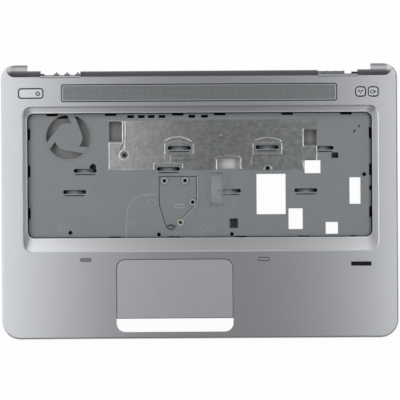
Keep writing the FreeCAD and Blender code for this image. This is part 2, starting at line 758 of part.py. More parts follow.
def scoop_space():
    """A shallow hollow with a round bottom, turned about an axis along X."""
    x0, x1, y0, y1 = scoop_plan(0.0)
    radius = ((SCOOP_WIDTH / 2) ** 2 + SCOOP_DEPTH ** 2) / (2 * SCOOP_DEPTH)
    start = Vector(x0, (y0 + y1) / 2, FLOOR_Z - SCOOP_DEPTH + radius)
    turned = Part.makeCylinder(radius, SCOOP_LENGTH, start, Vector(1, 0, 0))
    return turned.common(box(x0, x1, y0, y1, FLOOR_Z - SCOOP_DEPTH, FLOOR_Z + CUT_PAST))


def pocket_slab(z0, z1):
    """A slab over the plan of the stud pocket."""
    return polygon_slab([pocket_point(x, y) for x, y in POCKET_OUTLINE], z0, z1)


def pocket_studs():
    """Ring studs and the small tab that stand in the pocket."""
    z0 = FLOOR_Z - SINK_DEPTH - FLOOR_WALL / 2
    studs = [prism(*pocket_point(x, y), STUD_R, z0, FLOOR_Z) for x, y in POCKET_STUDS]
    left, right, front, back = POCKET_TAB
    x0, y0 = pocket_point(left, front)
    x1, y1 = pocket_point(right, back)
    tab = box(x0, x1, y0, y1, z0, FLOOR_Z - SINK_DEPTH + POCKET_TAB_HEIGHT)
    return studs + [tab]


def floor_posts():
    """Hollow posts under the floor for the keyboard and plate screws."""
    spots = key_screw_spots() + side_screw_spots() + plate_screw_spots()[:1]
    spots.append(pocket_point(*INSERT_FROM_CORNER))
    return [prism(x, y, POST_R, POST_FOOT_Z, FLOOR_Z - FLOOR_WALL / 2) for x, y in spots]


def floor_screw_holes():
    """Screw holes down through floor and posts."""
    z0 = POST_FOOT_Z - CUT_PAST
    z1 = FLOOR_Z + CUT_PAST
    holes = [disc(x, y, SCREW_HOLE_R, z0, z1) for x, y in key_screw_spots()]
    holes += [prism(x, y, SCREW_HOLE_R, z0, z1) for x, y in side_screw_spots() + plate_screw_spots()]
    holes += [prism(*pocket_point(x, y), STUD_HOLE_R, z0, z1) for x, y in POCKET_STUDS]
    holes.append(prism(*pocket_point(*INSERT_FROM_CORNER), INSERT_R, z0, z1))
    return holes


def floor_raised():
    """Low raised forms on the bay floor: fan bead, insert ring and oval boss."""
    z0 = FLOOR_Z - FLOOR_WALL / 2
    bead = ring(FAN_X, FAN_Y, FAN_R + FAN_BEAD_WIDTH, FAN_R, z0, FLOOR_Z + FAN_BEAD_HEIGHT)
    x, y = pocket_point(*INSERT_FROM_CORNER)
    seat = prism(x, y, INSERT_RING_R, z0, FLOOR_Z + INSERT_RING_HEIGHT)
    left, right, front, back = OVAL_BOSS
    x, y = pocket_point((left + right) / 2, (front + back) / 2)
    oval = slot(x, y, right - left, back - front, z0, FLOOR_Z + OVAL_BOSS_HEIGHT)
    return [bead, seat, oval]


def boss_spots():
    """Where the lower case is screwed on: four corners and two along the front."""
    front = FRONT + BOSS_FRONT_FROM_EDGE
    back = STRIP_Y - BOARD_WIDTH / 2 - BOSS_FROM_BOARD - BOSS_R
    side_left = LEFT + BOSS_FROM_SIDE
    side_right = RIGHT - BOSS_FROM_SIDE
    corners = [(side_left, front), (side_right, front), (side_left, back), (side_right, back)]
    return corners + [(PAD_X0 - BOSS_FROM_PAD, front), (PAD_X1 + BOSS_FROM_PAD, front)]


def case_bosses():
    """Bosses that hang from the deck."""
    return [prism(x, y, BOSS_R, BOSS_FOOT_Z, UNDER_DECK + DECK_WALL / 2) for x, y in boss_spots()]


def case_boss_holes():
    """The seats of the brass inserts in the bosses."""
    z0 = BOSS_FOOT_Z - CUT_PAST
    z1 = BOSS_FOOT_Z + INSERT_LENGTH
    return [prism(x, y, INSERT_R, z0, z1) for x, y in boss_spots()]


def palm_rib_lines():
    """X of the ribs under the palm rest, from the touchpad outwards on both sides."""
    left = PAD_X0 - PALM_RIB_FROM_PAD
    right = PAD_X1 + PALM_RIB_FROM_PAD
    left_count = int((left - LEFT - PALM_RIB_FROM_SIDE) / PALM_RIB_PITCH) + 1
    right_count = int((RIGHT - PALM_RIB_FROM_SIDE - right) / PALM_RIB_PITCH) + 1
    lines = [left - k * PALM_RIB_PITCH for k in range(left_count)]
    return lines + [right + k * PALM_RIB_PITCH for k in range(right_count)]


def palm_ribs():
    """Ribs under the palm rest that stop short of the fingerprint reader."""
    y0 = FRONT + PALM_RIB_FROM_FRONT
    y1 = BAY_Y0 - PALM_RIB_FROM_BAY
    z0 = UNDER_DECK - RIB_HEIGHT
    half = RIB_WALL / 2
    reach = PRINT_SLOT_LENGTH / 2 + PRINT_BOARD_MARGIN + PRINT_CLEARANCE
    side = PRINT_SLOT_WIDTH / 2 + PRINT_BOARD_MARGIN + PRINT_CLEARANCE
    reader = box(PRINT_X - reach, PRINT_X + reach, PRINT_Y - side, y1 + CUT_PAST, z0 - CUT_PAST, UNDER_DECK)
    ribs = [box(x - half, x + half, y0, y1, z0, UNDER_DECK + DECK_WALL / 2) for x in palm_rib_lines()]
    return [rib.cut(reader) for rib in ribs]


def evenly(start, end, count):
    """Places at equal steps from start to end."""
    return [start + k * (end - start) / (count - 1) for k in range(count)]


def snap_hooks():
    """Wedge hooks inside the skirt that the lower case snaps over."""
    bite = SKIRT_WALL / 2
    half = HOOK_LENGTH / 2
    y = FRONT + SKIRT_WALL
    z1 = HOOK_Z + HOOK_HEIGHT
    profile = [(y - bite, HOOK_Z), (y, HOOK_Z), (y + HOOK_REACH, z1), (y - bite, z1)]
    hooks = []
    for x in evenly(LEFT + FRONT_HOOK_FROM_SIDE, RIGHT - FRONT_HOOK_FROM_SIDE, FRONT_HOOKS):
        corners = [Vector(x - half, py, pz) for py, pz in profile]
        face = Part.Face(Part.makePolygon(corners + corners[:1]))
        hooks.append(face.extrude(Vector(HOOK_LENGTH, 0, 0)))
    for y in evenly(FRONT + SIDE_HOOK_FROM_FRONT, REAR - SIDE_HOOK_FROM_REAR, SIDE_HOOKS):
        for x, inward in ((LEFT + SKIRT_WALL, 1), (RIGHT - SKIRT_WALL, -1)):
            back = x - inward * bite
            profile = [(back, HOOK_Z), (x, HOOK_Z), (x + inward * HOOK_REACH, z1), (back, z1)]
            corners = [Vector(px, y - half, pz) for px, pz in profile]
            face = Part.Face(Part.makePolygon(corners + corners[:1]))
            hooks.append(face.extrude(Vector(0, HOOK_LENGTH, 0)))
    return hooks


def grille_opening():
    """The stepped opening that the grille and its cloth sit in."""
    z1 = DECK_Z + CUT_PAST
    length = GRILLE_LENGTH + 2 * GRILLE_GAP
    width = GRILLE_WIDTH + 2 * GRILLE_GAP
    upper = centred_slab(GRILLE_X, STRIP_Y, length, width, GRILLE_R, GRILLE_UNDER, z1)
    length = GRILLE_LENGTH - 2 * GRILLE_SEAT
    width = GRILLE_WIDTH - 2 * GRILLE_SEAT
    lower = centred_slab(GRILLE_X, STRIP_Y, length, width, GRILLE_R, UNDER_DECK - CUT_PAST, z1)
    return [upper, lower]


def button_spots():
    """Middle, length and width of each button cap."""
    return {
        "power_button": (POWER_X, STRIP_Y, POWER_LENGTH, POWER_WIDTH),
        "wireless_button": (WIRELESS_X, STRIP_Y, QUICK_LENGTH, QUICK_WIDTH),
        "mute_button": (MUTE_X, STRIP_Y, QUICK_LENGTH, QUICK_WIDTH),
    }


def button_openings():
    """Holes in the deck, one gap wider than the caps all round."""
    cuts = []
    for x, y, length, width in button_spots().values():
        grow = 2 * BUTTON_GAP
        z0 = UNDER_DECK - CUT_PAST
        radius = BUTTON_R + BUTTON_GAP
        cuts.append(centred_slab(x, y, length + grow, width + grow, radius, z0, DECK_Z + CUT_PAST))
    return cuts


def board_post_spots():
    """Posts at both ends of the power board and of the quick button board."""
    reach = BOARD_POST_OUT + BUTTON_GAP
    power = [(POWER_X + side * (POWER_LENGTH / 2 + reach), STRIP_Y) for side in (-1, 1)]
    quick_left = WIRELESS_X - QUICK_LENGTH / 2 - reach
    quick_right = MUTE_X + QUICK_LENGTH / 2 + reach
    return power, [(quick_left, STRIP_Y), (quick_right, STRIP_Y)]


def board_posts():
    """Posts that hang from the deck and carry the two switch boards."""
    spots = [spot for pair in board_post_spots() for spot in pair]
    return [prism(x, y, BOARD_POST_R, BOARD_TOP_Z, UNDER_DECK + DECK_WALL / 2) for x, y in spots]


def board_post_holes():
    """Pilot holes for the board screws."""
    spots = [spot for pair in board_post_spots() for spot in pair]
    return [prism(x, y, SCREW_R, BOARD_TOP_Z - CUT_PAST, BOARD_TOP_Z + SCREW_BITE) for x, y in spots]


def ear_spots():
    """Screws of the touchpad bracket: two on each side."""
    x0 = PAD_X0 - EAR_REACH / 2
    x1 = PAD_X1 + EAR_REACH / 2
    y0 = SHEET_Y0 + EAR_FROM_END
    y1 = PAD_Y1 - EAR_FROM_END
    return [(x0, y0), (x0, y1), (x1, y0), (x1, y1)]


def pad_bosses():
    """Low bosses under the deck beside the touchpad opening."""
    return [prism(x, y, PAD_BOSS_R, PAD_BOARD_UNDER, UNDER_DECK + DECK_WALL / 2) for x, y in ear_spots()]


def pad_boss_holes():
    """Blind pilot holes for the bracket screws."""
    top = UNDER_DECK + DECK_WALL / 2
    return [prism(x, y, SCREW_R, PAD_BOARD_UNDER - CUT_PAST, top) for x, y in ear_spots()]


def palm_cuts():
    """Touchpad opening, fingerprint slot and the two bumper recesses."""
    z0 = UNDER_DECK - CUT_PAST
    z1 = DECK_Z + CUT_PAST
    pad = rounded_slab(PAD_X0, PAD_X1, PAD_Y0, PAD_Y1, PAD_R, z0, z1)
    reader = box(
        PRINT_X - PRINT_SLOT_LENGTH / 2,
        PRINT_X + PRINT_SLOT_LENGTH / 2,
        PRINT_Y - PRINT_SLOT_WIDTH / 2,
        PRINT_Y + PRINT_SLOT_WIDTH / 2,
        z0,
        z1,
    )
    cuts = [pad, reader]
    for x in (LEFT_BUMPER_X, RIGHT_BUMPER_X):
        grow = 2 * BUMPER_CLEARANCE
        cuts.append(slot(x, BUMPER_Y, BUMPER_LENGTH + grow, BUMPER_WIDTH + grow, DECK_Z - BUMPER_SINK, z1))
    return cuts


def top_cover():
    """The one moulded piece that everything else is mounted in."""
    block = outer_block()
    shell = block.cut(inner_cavity())
    trough = trough_material().common(block)
    outer = joined([shell, trough] + bay_material())
    outer = outer.cut(bay_space() + [trough_space()] + rear_cuts())

    added = [scoop_pad(), pocket_slab(UNDER_FLOOR - SINK_DEPTH, UNDER_FLOOR)]
    added += rear_ledges() + floor_posts() + floor_raised() + case_bosses()
    added += palm_ribs() + snap_hooks() + board_posts() + pad_bosses()
    cover = joined([outer] + added)
    cover = cover.cut([scoop_space(), pocket_slab(FLOOR_Z - SINK_DEPTH, FLOOR_Z + CUT_PAST)])
    cover = joined([cover] + pocket_studs())

    cuts = wall_latches() + back_vents() + finger_cuts() + fan_cuts() + window_cuts() + floor_under_notches()
    cuts += floor_screw_holes() + case_boss_holes() + grille_opening() + button_openings()
    cuts += board_post_holes() + pad_boss_holes() + palm_cuts()
    return cover.cut(cuts).removeSplitter()


def perforation(x, y):
    """The outline of one square hole of the grille."""
    half = PERF_SIZE / 2
    corners = [(x - half, y - half), (x - half, y + half), (x + half, y + half), (x + half, y - half)]
    points = [Vector(px, py, GRILLE_UNDER) for px, py in corners]
    return Part.makePolygon(points + points[:1])


def speaker_grille():
    """A thin plate with rows of square holes inside a plain border."""
    x0 = GRILLE_X - GRILLE_LENGTH / 2
    y0 = STRIP_Y - GRILLE_WIDTH / 2
    outline = rounded_wire(x0, x0 + GRILLE_LENGTH, y0, y0 + GRILLE_WIDTH, (GRILLE_R,) * 4, GRILLE_UNDER)
    columns = int((GRILLE_LENGTH - 2 * GRILLE_BORDER) / PERF_PITCH)
    rows = int((GRILLE_WIDTH - 2 * GRILLE_BORDER) / PERF_PITCH) + 1
    holes = []
    for i in range(columns):
        for j in range(rows):
            x = GRILLE_X + (i - (columns - 1) / 2) * PERF_PITCH
            y = STRIP_Y + (j - (rows - 1) / 2) * PERF_PITCH
            holes.append(perforation(x, y))
    return Part.Face([outline] + holes).extrude(UP * GRILLE_WALL)


def grille_dust_mesh():
    """The black cloth under the grille."""
    length = GRILLE_LENGTH - 2 * GRILLE_SEAT - MESH_MARGIN
    width = GRILLE_WIDTH - 2 * GRILLE_SEAT - MESH_MARGIN
    z0 = GRILLE_UNDER - MESH_WALL
    return centred_slab(GRILLE_X, STRIP_Y, length, width, GRILLE_R - MESH_MARGIN, z0, GRILLE_UNDER)


def button_cap(x, y, length, width):
    """A cap with lips under the deck at front and back, and a stem for the switch."""
    cap = centred_slab(x, y, length, width, BUTTON_R, CAP_BASE_Z, DECK_Z)
    cap = cap.makeChamfer(BUTTON_BEVEL, top_edges(cap, DECK_Z))
    lip_top = UNDER_DECK - LIP_GAP
    along = length / 2 - BUTTON_R
    across = width / 2 + BUTTON_GAP + LIP_REACH
    lips = box(x - along, x + along, y - across, y + across, lip_top - LIP_HEIGHT, lip_top)
    stem = prism(x, y, STEM_R, PLUNGER_TOP_Z, CAP_BASE_Z + LIP_HEIGHT / 2)
    return joined([cap, lips, stem])


def tact_switch(x, y):
    """A square switch housing with the bore that its plunger runs in."""
    z1 = BOARD_TOP_Z + SWITCH_HEIGHT
    half = SWITCH_SIDE / 2
    housing = box(x - half, x + half, y - half, y + half, BOARD_TOP_Z, z1)
    floor = z1 - PLUNGER_IN_SWITCH - BUTTON_TRAVEL - PLUNGER_CLEARANCE
    return housing.cut(prism(x, y, PLUNGER_R + PLUNGER_CLEARANCE, floor, z1 + CUT_PAST))


def switch_plunger(x, y):
    """The pin that the button's stem presses."""
    return prism(x, y, PLUNGER_R, PLUNGER_TOP_Z - PLUNGER_STANDOUT - PLUNGER_IN_SWITCH, PLUNGER_TOP_Z)


def switch_board(spots):
    """A board between two posts, with a hole for each screw."""
    (x0, y), (x1, _) = spots
    z0 = BOARD_TOP_Z - BOARD_WALL
    half = BOARD_WIDTH / 2
    board = box(x0 - BOARD_END, x1 + BOARD_END, y - half, y + half, z0, BOARD_TOP_Z)
    return board.cut([prism(x, y, SCREW_R, z0 - CUT_PAST, BOARD_TOP_Z + CUT_PAST) for x in (x0, x1)])


def small_screw(x, y, seat_z, length):
    """A screw driven upwards, with its head below its seat."""
    shank = prism(x, y, SCREW_R, seat_z, seat_z + length)
    head = prism(x, y, SCREW_HEAD_R, seat_z - SCREW_HEAD_HEIGHT, seat_z)
    return joined([shank, head])


def board_screws():
    """All the small screws, as separate solids in one node."""
    screws = []
    for pair in board_post_spots():
        for x, y in pair:
            screws.append(small_screw(x, y, BOARD_TOP_Z - BOARD_WALL, BOARD_WALL + SCREW_BITE))
    length = UNDER_DECK + DECK_WALL / 2 - BRACKET_UNDER
    for x, y in ear_spots():
        screws.append(small_screw(x, y, BRACKET_UNDER, length))
    return Part.makeCompound(screws)


def brass_insert(x, y, z0):
    """A brass sleeve with flats outside and a round bore."""
    bore = disc(x, y, INSERT_BORE_R, z0, z0 + INSERT_LENGTH)
    return prism(x, y, INSERT_R, z0, z0 + INSERT_LENGTH).cut(bore)


def threaded_inserts():
    """The inserts of the case bosses, as separate solids in one node."""
    return Part.makeCompound([brass_insert(x, y, BOSS_FOOT_Z) for x, y in boss_spots()])


def tray_insert():
    """The insert that shows in the bay floor."""
    x, y = pocket_point(*INSERT_FROM_CORNER)
    return brass_insert(x, y, FLOOR_Z + INSERT_RING_HEIGHT - INSERT_LENGTH)


def touchpad_sheet():
    """The painted touch surface: round back corners, square front corners."""
    x0 = PAD_X0 + PAD_GAP
    x1 = PAD_X1 - PAD_GAP
    y1 = PAD_Y1 - PAD_GAP
    sheet = rounded_slab(x0, x1, PAD_Y0, y1, PAD_R - PAD_GAP, SHEET_UNDER, SHEET_TOP)
    return sheet.cut(box(PAD_X0, PAD_X1, PAD_Y0 - CUT_PAST, SHEET_Y0, SHEET_UNDER - CUT_PAST, DECK_Z))


def touchpad_board():
    """The circuit board glued under the sheet."""
    m = PAD_BOARD_MARGIN
    y0 = SHEET_Y0 + m
    y1 = PAD_Y1 - m
    return rounded_slab(PAD_X0 + m, PAD_X1 - m, y0, y1, PAD_R - m, PAD_BOARD_UNDER, SHEET_UNDER)


def touchpad_bracket():
    """A steel plate under the board, with four ears screwed to the deck and a window for the connector."""
    m = BRACKET_MARGIN
    y0 = SHEET_Y0 + PAD_BOARD_MARGIN
    y1 = PAD_Y1 - PAD_BOARD_MARGIN
    plate = rounded_slab(PAD_X0 + m, PAD_X1 - m, y0, y1, PAD_BOARD_MARGIN, BRACKET_UNDER, PAD_BOARD_UNDER)
    ears = []
    for x, y in ear_spots():
        inner = PAD_X0 + 2 * m if x < PAD_X else PAD_X1 - 2 * m
        outer = x - EAR_WIDTH / 2 if x < PAD_X else x + EAR_WIDTH / 2
        low = min(inner, outer)
        high = max(inner, outer)
        ears.append(box(low, high, y - EAR_WIDTH / 2, y + EAR_WIDTH / 2, BRACKET_UNDER, PAD_BOARD_UNDER))
    bracket = joined([plate] + ears)
    z0 = BRACKET_UNDER - CUT_PAST
    holes = [prism(x, y, SCREW_R, z0, PAD_BOARD_UNDER + CUT_PAST) for x, y in ear_spots()]
    return bracket.cut(holes + [connector_space(z0)])


def connector_space(z0):
    """The window in the bracket that the touchpad connector stands in."""
    along = CONNECTOR_LENGTH / 2 + CONNECTOR_MARGIN
    across = CONNECTOR_WIDTH / 2 + CONNECTOR_MARGIN
    y = (SHEET_Y0 + PAD_Y1) / 2
    return box(PAD_X - along, PAD_X + along, y - across, y + across, z0, PAD_BOARD_UNDER + CUT_PAST)


def touchpad_connector():
    """The flat cable connector under the touchpad board."""
    y = (SHEET_Y0 + PAD_Y1) / 2
    x0 = PAD_X - CONNECTOR_LENGTH / 2
    x1 = PAD_X + CONNECTOR_LENGTH / 2
    y0 = y - CONNECTOR_WIDTH / 2
    body = box(x0, x1, y0, y0 + CONNECTOR_WIDTH, PAD_BOARD_UNDER - CONNECTOR_HEIGHT, PAD_BOARD_UNDER)
    z1 = PAD_BOARD_UNDER - MOUTH_FROM_BOARD
    mouth = box(x0 + MOUTH_MARGIN, x1 - MOUTH_MARGIN, y0 - CUT_PAST, y, z1 - MOUTH_HEIGHT, z1)
    return body.cut(mouth)


def fingerprint_sensor():
    """A bar in the palm rest slot, on a flange under the deck."""
    length = PRINT_SLOT_LENGTH - 2 * PRINT_GAP
    width = PRINT_SLOT_WIDTH - 2 * PRINT_GAP
    base_z = UNDER_DECK - PRINT_FLANGE_HEIGHT
    x0 = PRINT_X - length / 2
    y0 = PRINT_Y - width / 2
    bar = box(x0, x0 + length, y0, y0 + width, base_z, DECK_Z - PRINT_SINK)
    flange_length = PRINT_SLOT_LENGTH + 2 * PRINT_FLANGE
    flange_width = PRINT_SLOT_WIDTH + 2 * PRINT_FLANGE
    x1 = PRINT_X - flange_length / 2
    y1 = PRINT_Y - flange_width / 2
    flange = box(x1, x1 + flange_length, y1, y1 + flange_width, base_z, UNDER_DECK)
    return joined([bar, flange])


def fingerprint_board():
    """The board that the sensor is soldered to."""
    length = PRINT_SLOT_LENGTH + 2 * PRINT_BOARD_MARGIN
    width = PRINT_SLOT_WIDTH + 2 * PRINT_BOARD_MARGIN
    x0 = PRINT_X - length / 2
    y0 = PRINT_Y - width / 2
    z1 = UNDER_DECK - PRINT_FLANGE_HEIGHT
    return box(x0, x0 + length, y0, y0 + width, z1 - PRINT_BOARD_WALL, z1)


def left_bumper():
    """The rubber pad that keeps the lid off the deck."""
    top = DECK_Z + BUMPER_STANDOUT
    pad = slot(LEFT_BUMPER_X, BUMPER_Y, BUMPER_LENGTH, BUMPER_WIDTH, DECK_Z - BUMPER_SINK, top)
    return pad.makeChamfer(BUMPER_STANDOUT / 2, top_edges(pad, top))


def finger_window(x, y, z0, z1):
    """The window of the shield plate round one spring finger."""
    half = FINGER_WINDOW_LENGTH / 2
    return box(x - half, x + half, y - FINGER_WINDOW_FRONT, y + FINGER_WINDOW_BACK, z0, z1)


def arch_bead(x, y):
    """A shallow arched bead behind a finger window."""
    top = y + FINGER_WINDOW_BACK + ARCH_OFFSET
    centre_y = top - ARCH_R
    z0 = FLOOR_Z
    z1 = FLOOR_Z + PLATE_WALL + ARCH_HEIGHT
    band = ring(x, centre_y, ARCH_R, ARCH_R - ARCH_WIDTH, z0, z1)
    half = FINGER_WINDOW_LENGTH / 2
    return band.common(box(x - half, x + half, y + FINGER_WINDOW_BACK, top + CUT_PAST, z0, z1))


def turned_edge(x, y0, y1, z0):
    """An edge of a plate opening that is turned up."""
    half = PLATE_WALL / 2
    return box(x - half, x + half, y0, y1, z0, FLOOR_Z + PLATE_WALL + PLATE_FLANGE)


def notch_plans():
    """Left, right, front and back of the notches in the left, right and front edge of the plate."""
    left_y1 = PLATE_Y1 - LEFT_NOTCH_FROM_BACK
    right_y1 = PLATE_Y1 - RIGHT_NOTCH_FROM_BACK
    x = floor_x(FRONT_NOTCH_MIDDLE)
    half = FRONT_NOTCH_LENGTH / 2
    return [
        (PLATE_X0, PLATE_X0 + LEFT_NOTCH_LENGTH, left_y1 - LEFT_NOTCH_DEPTH, left_y1),
        (PLATE_X1 - RIGHT_NOTCH_LENGTH, PLATE_X1, right_y1 - RIGHT_NOTCH_DEPTH, right_y1),
        (x - half, x + half, PLATE_Y0, PLATE_Y0 + FRONT_NOTCH_DEPTH),
    ]


def plate_notches(low, high):
    """The notches, each cut past the edge of the plate that it opens."""
    left, right, front = notch_plans()
    return [
        box(left[0] - CUT_PAST, *left[1:], low, high),
        box(right[0], right[1] + CUT_PAST, *right[2:], low, high),
        box(*front[:2], front[2] - CUT_PAST, front[3], low, high),
    ]


def floor_under_notches():
    """The openings in the bay floor under those notches, a little smaller."""
    side = NOTCH_SIDE_MARGIN
    z0 = UNDER_FLOOR - CUT_PAST
    z1 = FLOOR_Z + CUT_PAST
    cuts = []
    for x0, x1, y0, y1 in notch_plans():
        cuts.append(box(x0 + side, x1 - side, y0 + NOTCH_FRONT_MARGIN, y1 - side, z0, z1))
    return cuts


def plate_turned_edges(z0):
    """The turned-up edges of the notches."""
    half = PLATE_WALL / 2
    left, right, front = notch_plans()
    return [
        turned_edge(left[1] + half, *left[2:], z0),
        turned_edge(right[0] - half, *right[2:], z0),
        turned_edge(front[0] - half, *front[2:], z0),
        turned_edge(front[1] + half, *front[2:], z0),
    ]


def keyboard_shield_plate():
    """The stamped sheet on the bay floor, with windows, turned edges, beads and a screw ring."""
    z0 = FLOOR_Z
    z1 = FLOOR_Z + PLATE_WALL
    low = z0 - CUT_PAST
    high = z1 + CUT_PAST
    plate = box(PLATE_X0, PLATE_X1, PLATE_Y0, PLATE_Y1, z0, z1)
    back_left, front, back_right = finger_spots(PLATE_FINGERS)
    beads = [arch_bead(x, y) for x, y in (back_left, back_right)]
    screws = plate_screw_spots()
    rise = disc(*screws[0], RING_R, z0, z1 + RING_HEIGHT)
    plate = joined([plate, rise] + plate_turned_edges(z0) + beads)
    cuts = plate_notches(low, high) + [floor_box(PLATE_WINDOW, low, high)]
    cuts += [disc(x, y, RING_INNER_R, low, high + RING_HEIGHT) for x, y in screws]
    cuts += [finger_window(x, y, low, high) for x, y in (back_left, front, back_right)]
    return plate.cut(cuts)


def clear_tape():
    """The film that covers the scoop."""
    x0, x1, y0, y1 = scoop_plan(0.0)
    front = y0 - TAPE_PAST_ENDS
    back = y1 + TAPE_PAST_ENDS
    return box(x0 - TAPE_PAST_LEFT, x1 + TAPE_PAST_RIGHT, front, back, FLOOR_Z, FLOOR_Z + TAPE_WALL)


def cable_guide():
    """A ribbed guide behind the deck edge, in the right-hand gap."""
    x0 = rear_gap_spans()[1][0]
    x1 = x0 + GUIDE_LENGTH
    y0 = DECK_REAR + LEDGE_WIDTH
    y1 = y0 + GUIDE_BACK - LEDGE_WIDTH
    z1 = UNDER_DECK
    z0 = z1 - GUIDE_HEIGHT
    back = box(x0, x1, y0, y0 + GUIDE_WALL, z0, z1)
    floor = box(x0, x1, y0, y1, z0, z0 + GUIDE_WALL)
    pitch = (x1 - x0 - GUIDE_WALL) / (GUIDE_RIBS - 1)
    ribs = [box(x0 + k * pitch, x0 + k * pitch + GUIDE_WALL, y0, y1, z0, z1) for k in range(GUIDE_RIBS)]
    return joined([back, floor] + ribs)


save(top_cover(), "top_cover")
save(speaker_grille(), "speaker_grille")
save(grille_dust_mesh(), "grille_dust_mesh")
save(keyboard_shield_plate(), "keyboard_shield_plate")
save(clear_tape(), "clear_tape")
save(cable_guide(), "cable_guide")

for node, (x, y, length, width) in button_spots().items():
    save(button_cap(x, y, length, width), node)
    stem = node.replace("_button", "")
    save(switch_plunger(x, y), stem + "_switch_plunger")
    save(tact_switch(x, y), stem + "_tact_switch")

power_posts, quick_posts = board_post_spots()
save(switch_board(power_posts), "power_switch_board")
save(switch_board(quick_posts), "quick_switch_board")
save(board_screws(), "board_screws")

save(touchpad_sheet(), "touchpad_sheet")
save(touchpad_board(), "touchpad_board")
save(touchpad_connector(), "touchpad_connector")
save(touchpad_bracket(), "touchpad_bracket")

save(fingerprint_sensor(), "fingerprint_sensor")
save(fingerprint_board(), "fingerprint_board")
save(left_bumper(), "left_bumper")
save(threaded_inserts(), "threaded_inserts")
save(tray_insert(), "tray_insert")
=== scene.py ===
"""Looks of the laptop palm rest: finishes, fine grille, stamped plate, printed signs, low lines,
spring tongues, rear lip, bench, lights and camera. Lengths are in millimetres unless a docstring
or a name says otherwise."""
import math

import bpy
import numpy as np
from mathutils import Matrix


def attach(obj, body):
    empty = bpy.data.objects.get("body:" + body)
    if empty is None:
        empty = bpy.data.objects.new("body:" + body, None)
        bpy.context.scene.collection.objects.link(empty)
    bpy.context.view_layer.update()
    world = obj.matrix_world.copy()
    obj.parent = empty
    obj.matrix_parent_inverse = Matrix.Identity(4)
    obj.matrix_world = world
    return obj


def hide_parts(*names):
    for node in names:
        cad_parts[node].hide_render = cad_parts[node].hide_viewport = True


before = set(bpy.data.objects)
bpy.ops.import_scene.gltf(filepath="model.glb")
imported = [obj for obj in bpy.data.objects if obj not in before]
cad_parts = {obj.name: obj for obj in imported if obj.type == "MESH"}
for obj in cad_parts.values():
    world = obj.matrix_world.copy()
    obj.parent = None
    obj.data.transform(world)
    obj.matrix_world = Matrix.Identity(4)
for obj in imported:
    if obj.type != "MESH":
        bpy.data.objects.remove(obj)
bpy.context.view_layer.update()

# One millimetre in metres, and the heights of the deck and of the bay's floor
MM = 0.001
DECK_Z = 12.0
FLOOR_Z = 6.0
# Grain as wide as it is long, grain brushed along X, and the part of a noise that a soft mix spans
EVEN = (1.0, 1.0, 1.0)
BRUSHED = (14.0, 1.0, 1.0)
SOFT_MIX = (0.3, 0.7)

# Mesh and material helpers


def linear(colour):
    """An sRGB hex colour such as 8a8c8e as linear red, green, blue and alpha."""
    channels = [int(colour[i:i + 2], 16) / 255 for i in (0, 2, 4)]
    return [c / 12.92 if c <= 0.04045 else ((c + 0.055) / 1.055) ** 2.4 for c in channels] + [1.0]


def add(tree, kind, inputs=None, **settings):
    """Adds one node, with its settings, and sets or links its inputs."""
    node = tree.nodes.new("ShaderNode" + kind)
    for name, value in settings.items():
        setattr(node, name, value)
    for key, value in (inputs or {}).items():
        if isinstance(value, bpy.types.NodeSocket):
            tree.links.new(value, node.inputs[key])
        else:
            node.inputs[key].default_value = value
    return node


def new_material(name):
    """A material with an empty node tree."""
    material = bpy.data.materials.new(name)
    material.use_nodes = True
    material.node_tree.nodes.clear()
    return material, material.node_tree


def finish_material(material, tree, shader, diffuse):
    """Connects the shader to the output and sets the plain view colour."""
    output = add(tree, "OutputMaterial")
    tree.links.new(shader, output.inputs["Surface"])
    material.diffuse_color = linear(diffuse)
    return material


def speckle(tree, place, grain_mm, stretch=EVEN):
    """Noise whose grains are grain_mm across, drawn out along each axis by stretch."""
    scale = [1.0 / s for s in stretch]
    mapping = add(tree, "Mapping", {"Vector": place, "Scale": scale})
    noise = add(tree, "TexNoise", {
        "Vector": mapping.outputs["Vector"], "Scale": 1.0 / (grain_mm * MM),
        "Detail": 2.0, "Roughness": 0.55})
    return noise.outputs["Fac"]


def shades(tree, share, stops):
    """A colour that follows share through stops of (place, colour)."""
    ramp = add(tree, "ValToRGB", {"Fac": share})
    for place, _ in stops[1:-1]:
        ramp.color_ramp.elements.new(place)
    for element, (place, colour) in zip(ramp.color_ramp.elements, stops):
        element.position = place
        element.color = linear(colour)
    return ramp.outputs["Color"]


def tint(tree, share, low, high, dark, light):
    """A colour that goes from dark to light while share goes from low to high."""
    return shades(tree, share, ((low, dark), (high, light)))


def relief(tree, height, depth_mm):
    """A bump whose full height is depth_mm."""
    bump = add(tree, "Bump", {"Height": height, "Distance": depth_mm * MM, "Strength": 1.0})
    return bump.outputs["Normal"]


def plain_finish(
        name, dark, light, grain_mm, roughness, metallic=0.0, bump_mm=0.01, stretch=EVEN):
    """A one-stuff finish: two close shades mixed by grain, with the same grain as relief."""
    material, tree = new_material(name)
    place = add(tree, "TexCoord").outputs["Object"]
    grain = speckle(tree, place, grain_mm, stretch)
    shader = add(tree, "BsdfPrincipled", {
        "Base Color": tint(tree, grain, 0.35, 0.65, dark, light), "Roughness": roughness,
        "Metallic": metallic, "IOR": 1.5, "Normal": relief(tree, grain, bump_mm)})
    return finish_material(material, tree, shader.outputs["BSDF"], light)


def coat(tree, under, mask, over):
    """One colour over another where the mask is 1."""
    over = over if isinstance(over, bpy.types.NodeSocket) else linear(over)
    return add(tree, "Mix", {0: mask, 6: under, 7: over}, data_type="RGBA").outputs[2]


def inside(tree, *spans):
    """A mask that is 1 where each value lies between its low and high, in millimetres."""
    mask = 1.0
    for value, low, high in spans:
        middle, reach = (low + high) / 2 * MM, (high - low) / 2 * MM
        hit = add(tree, "Math", {0: value, 1: middle, 2: reach}, operation="COMPARE").outputs[0]
        mask = add(tree, "Math", {0: hit, 1: mask}, operation="MULTIPLY").outputs[0]
    return mask


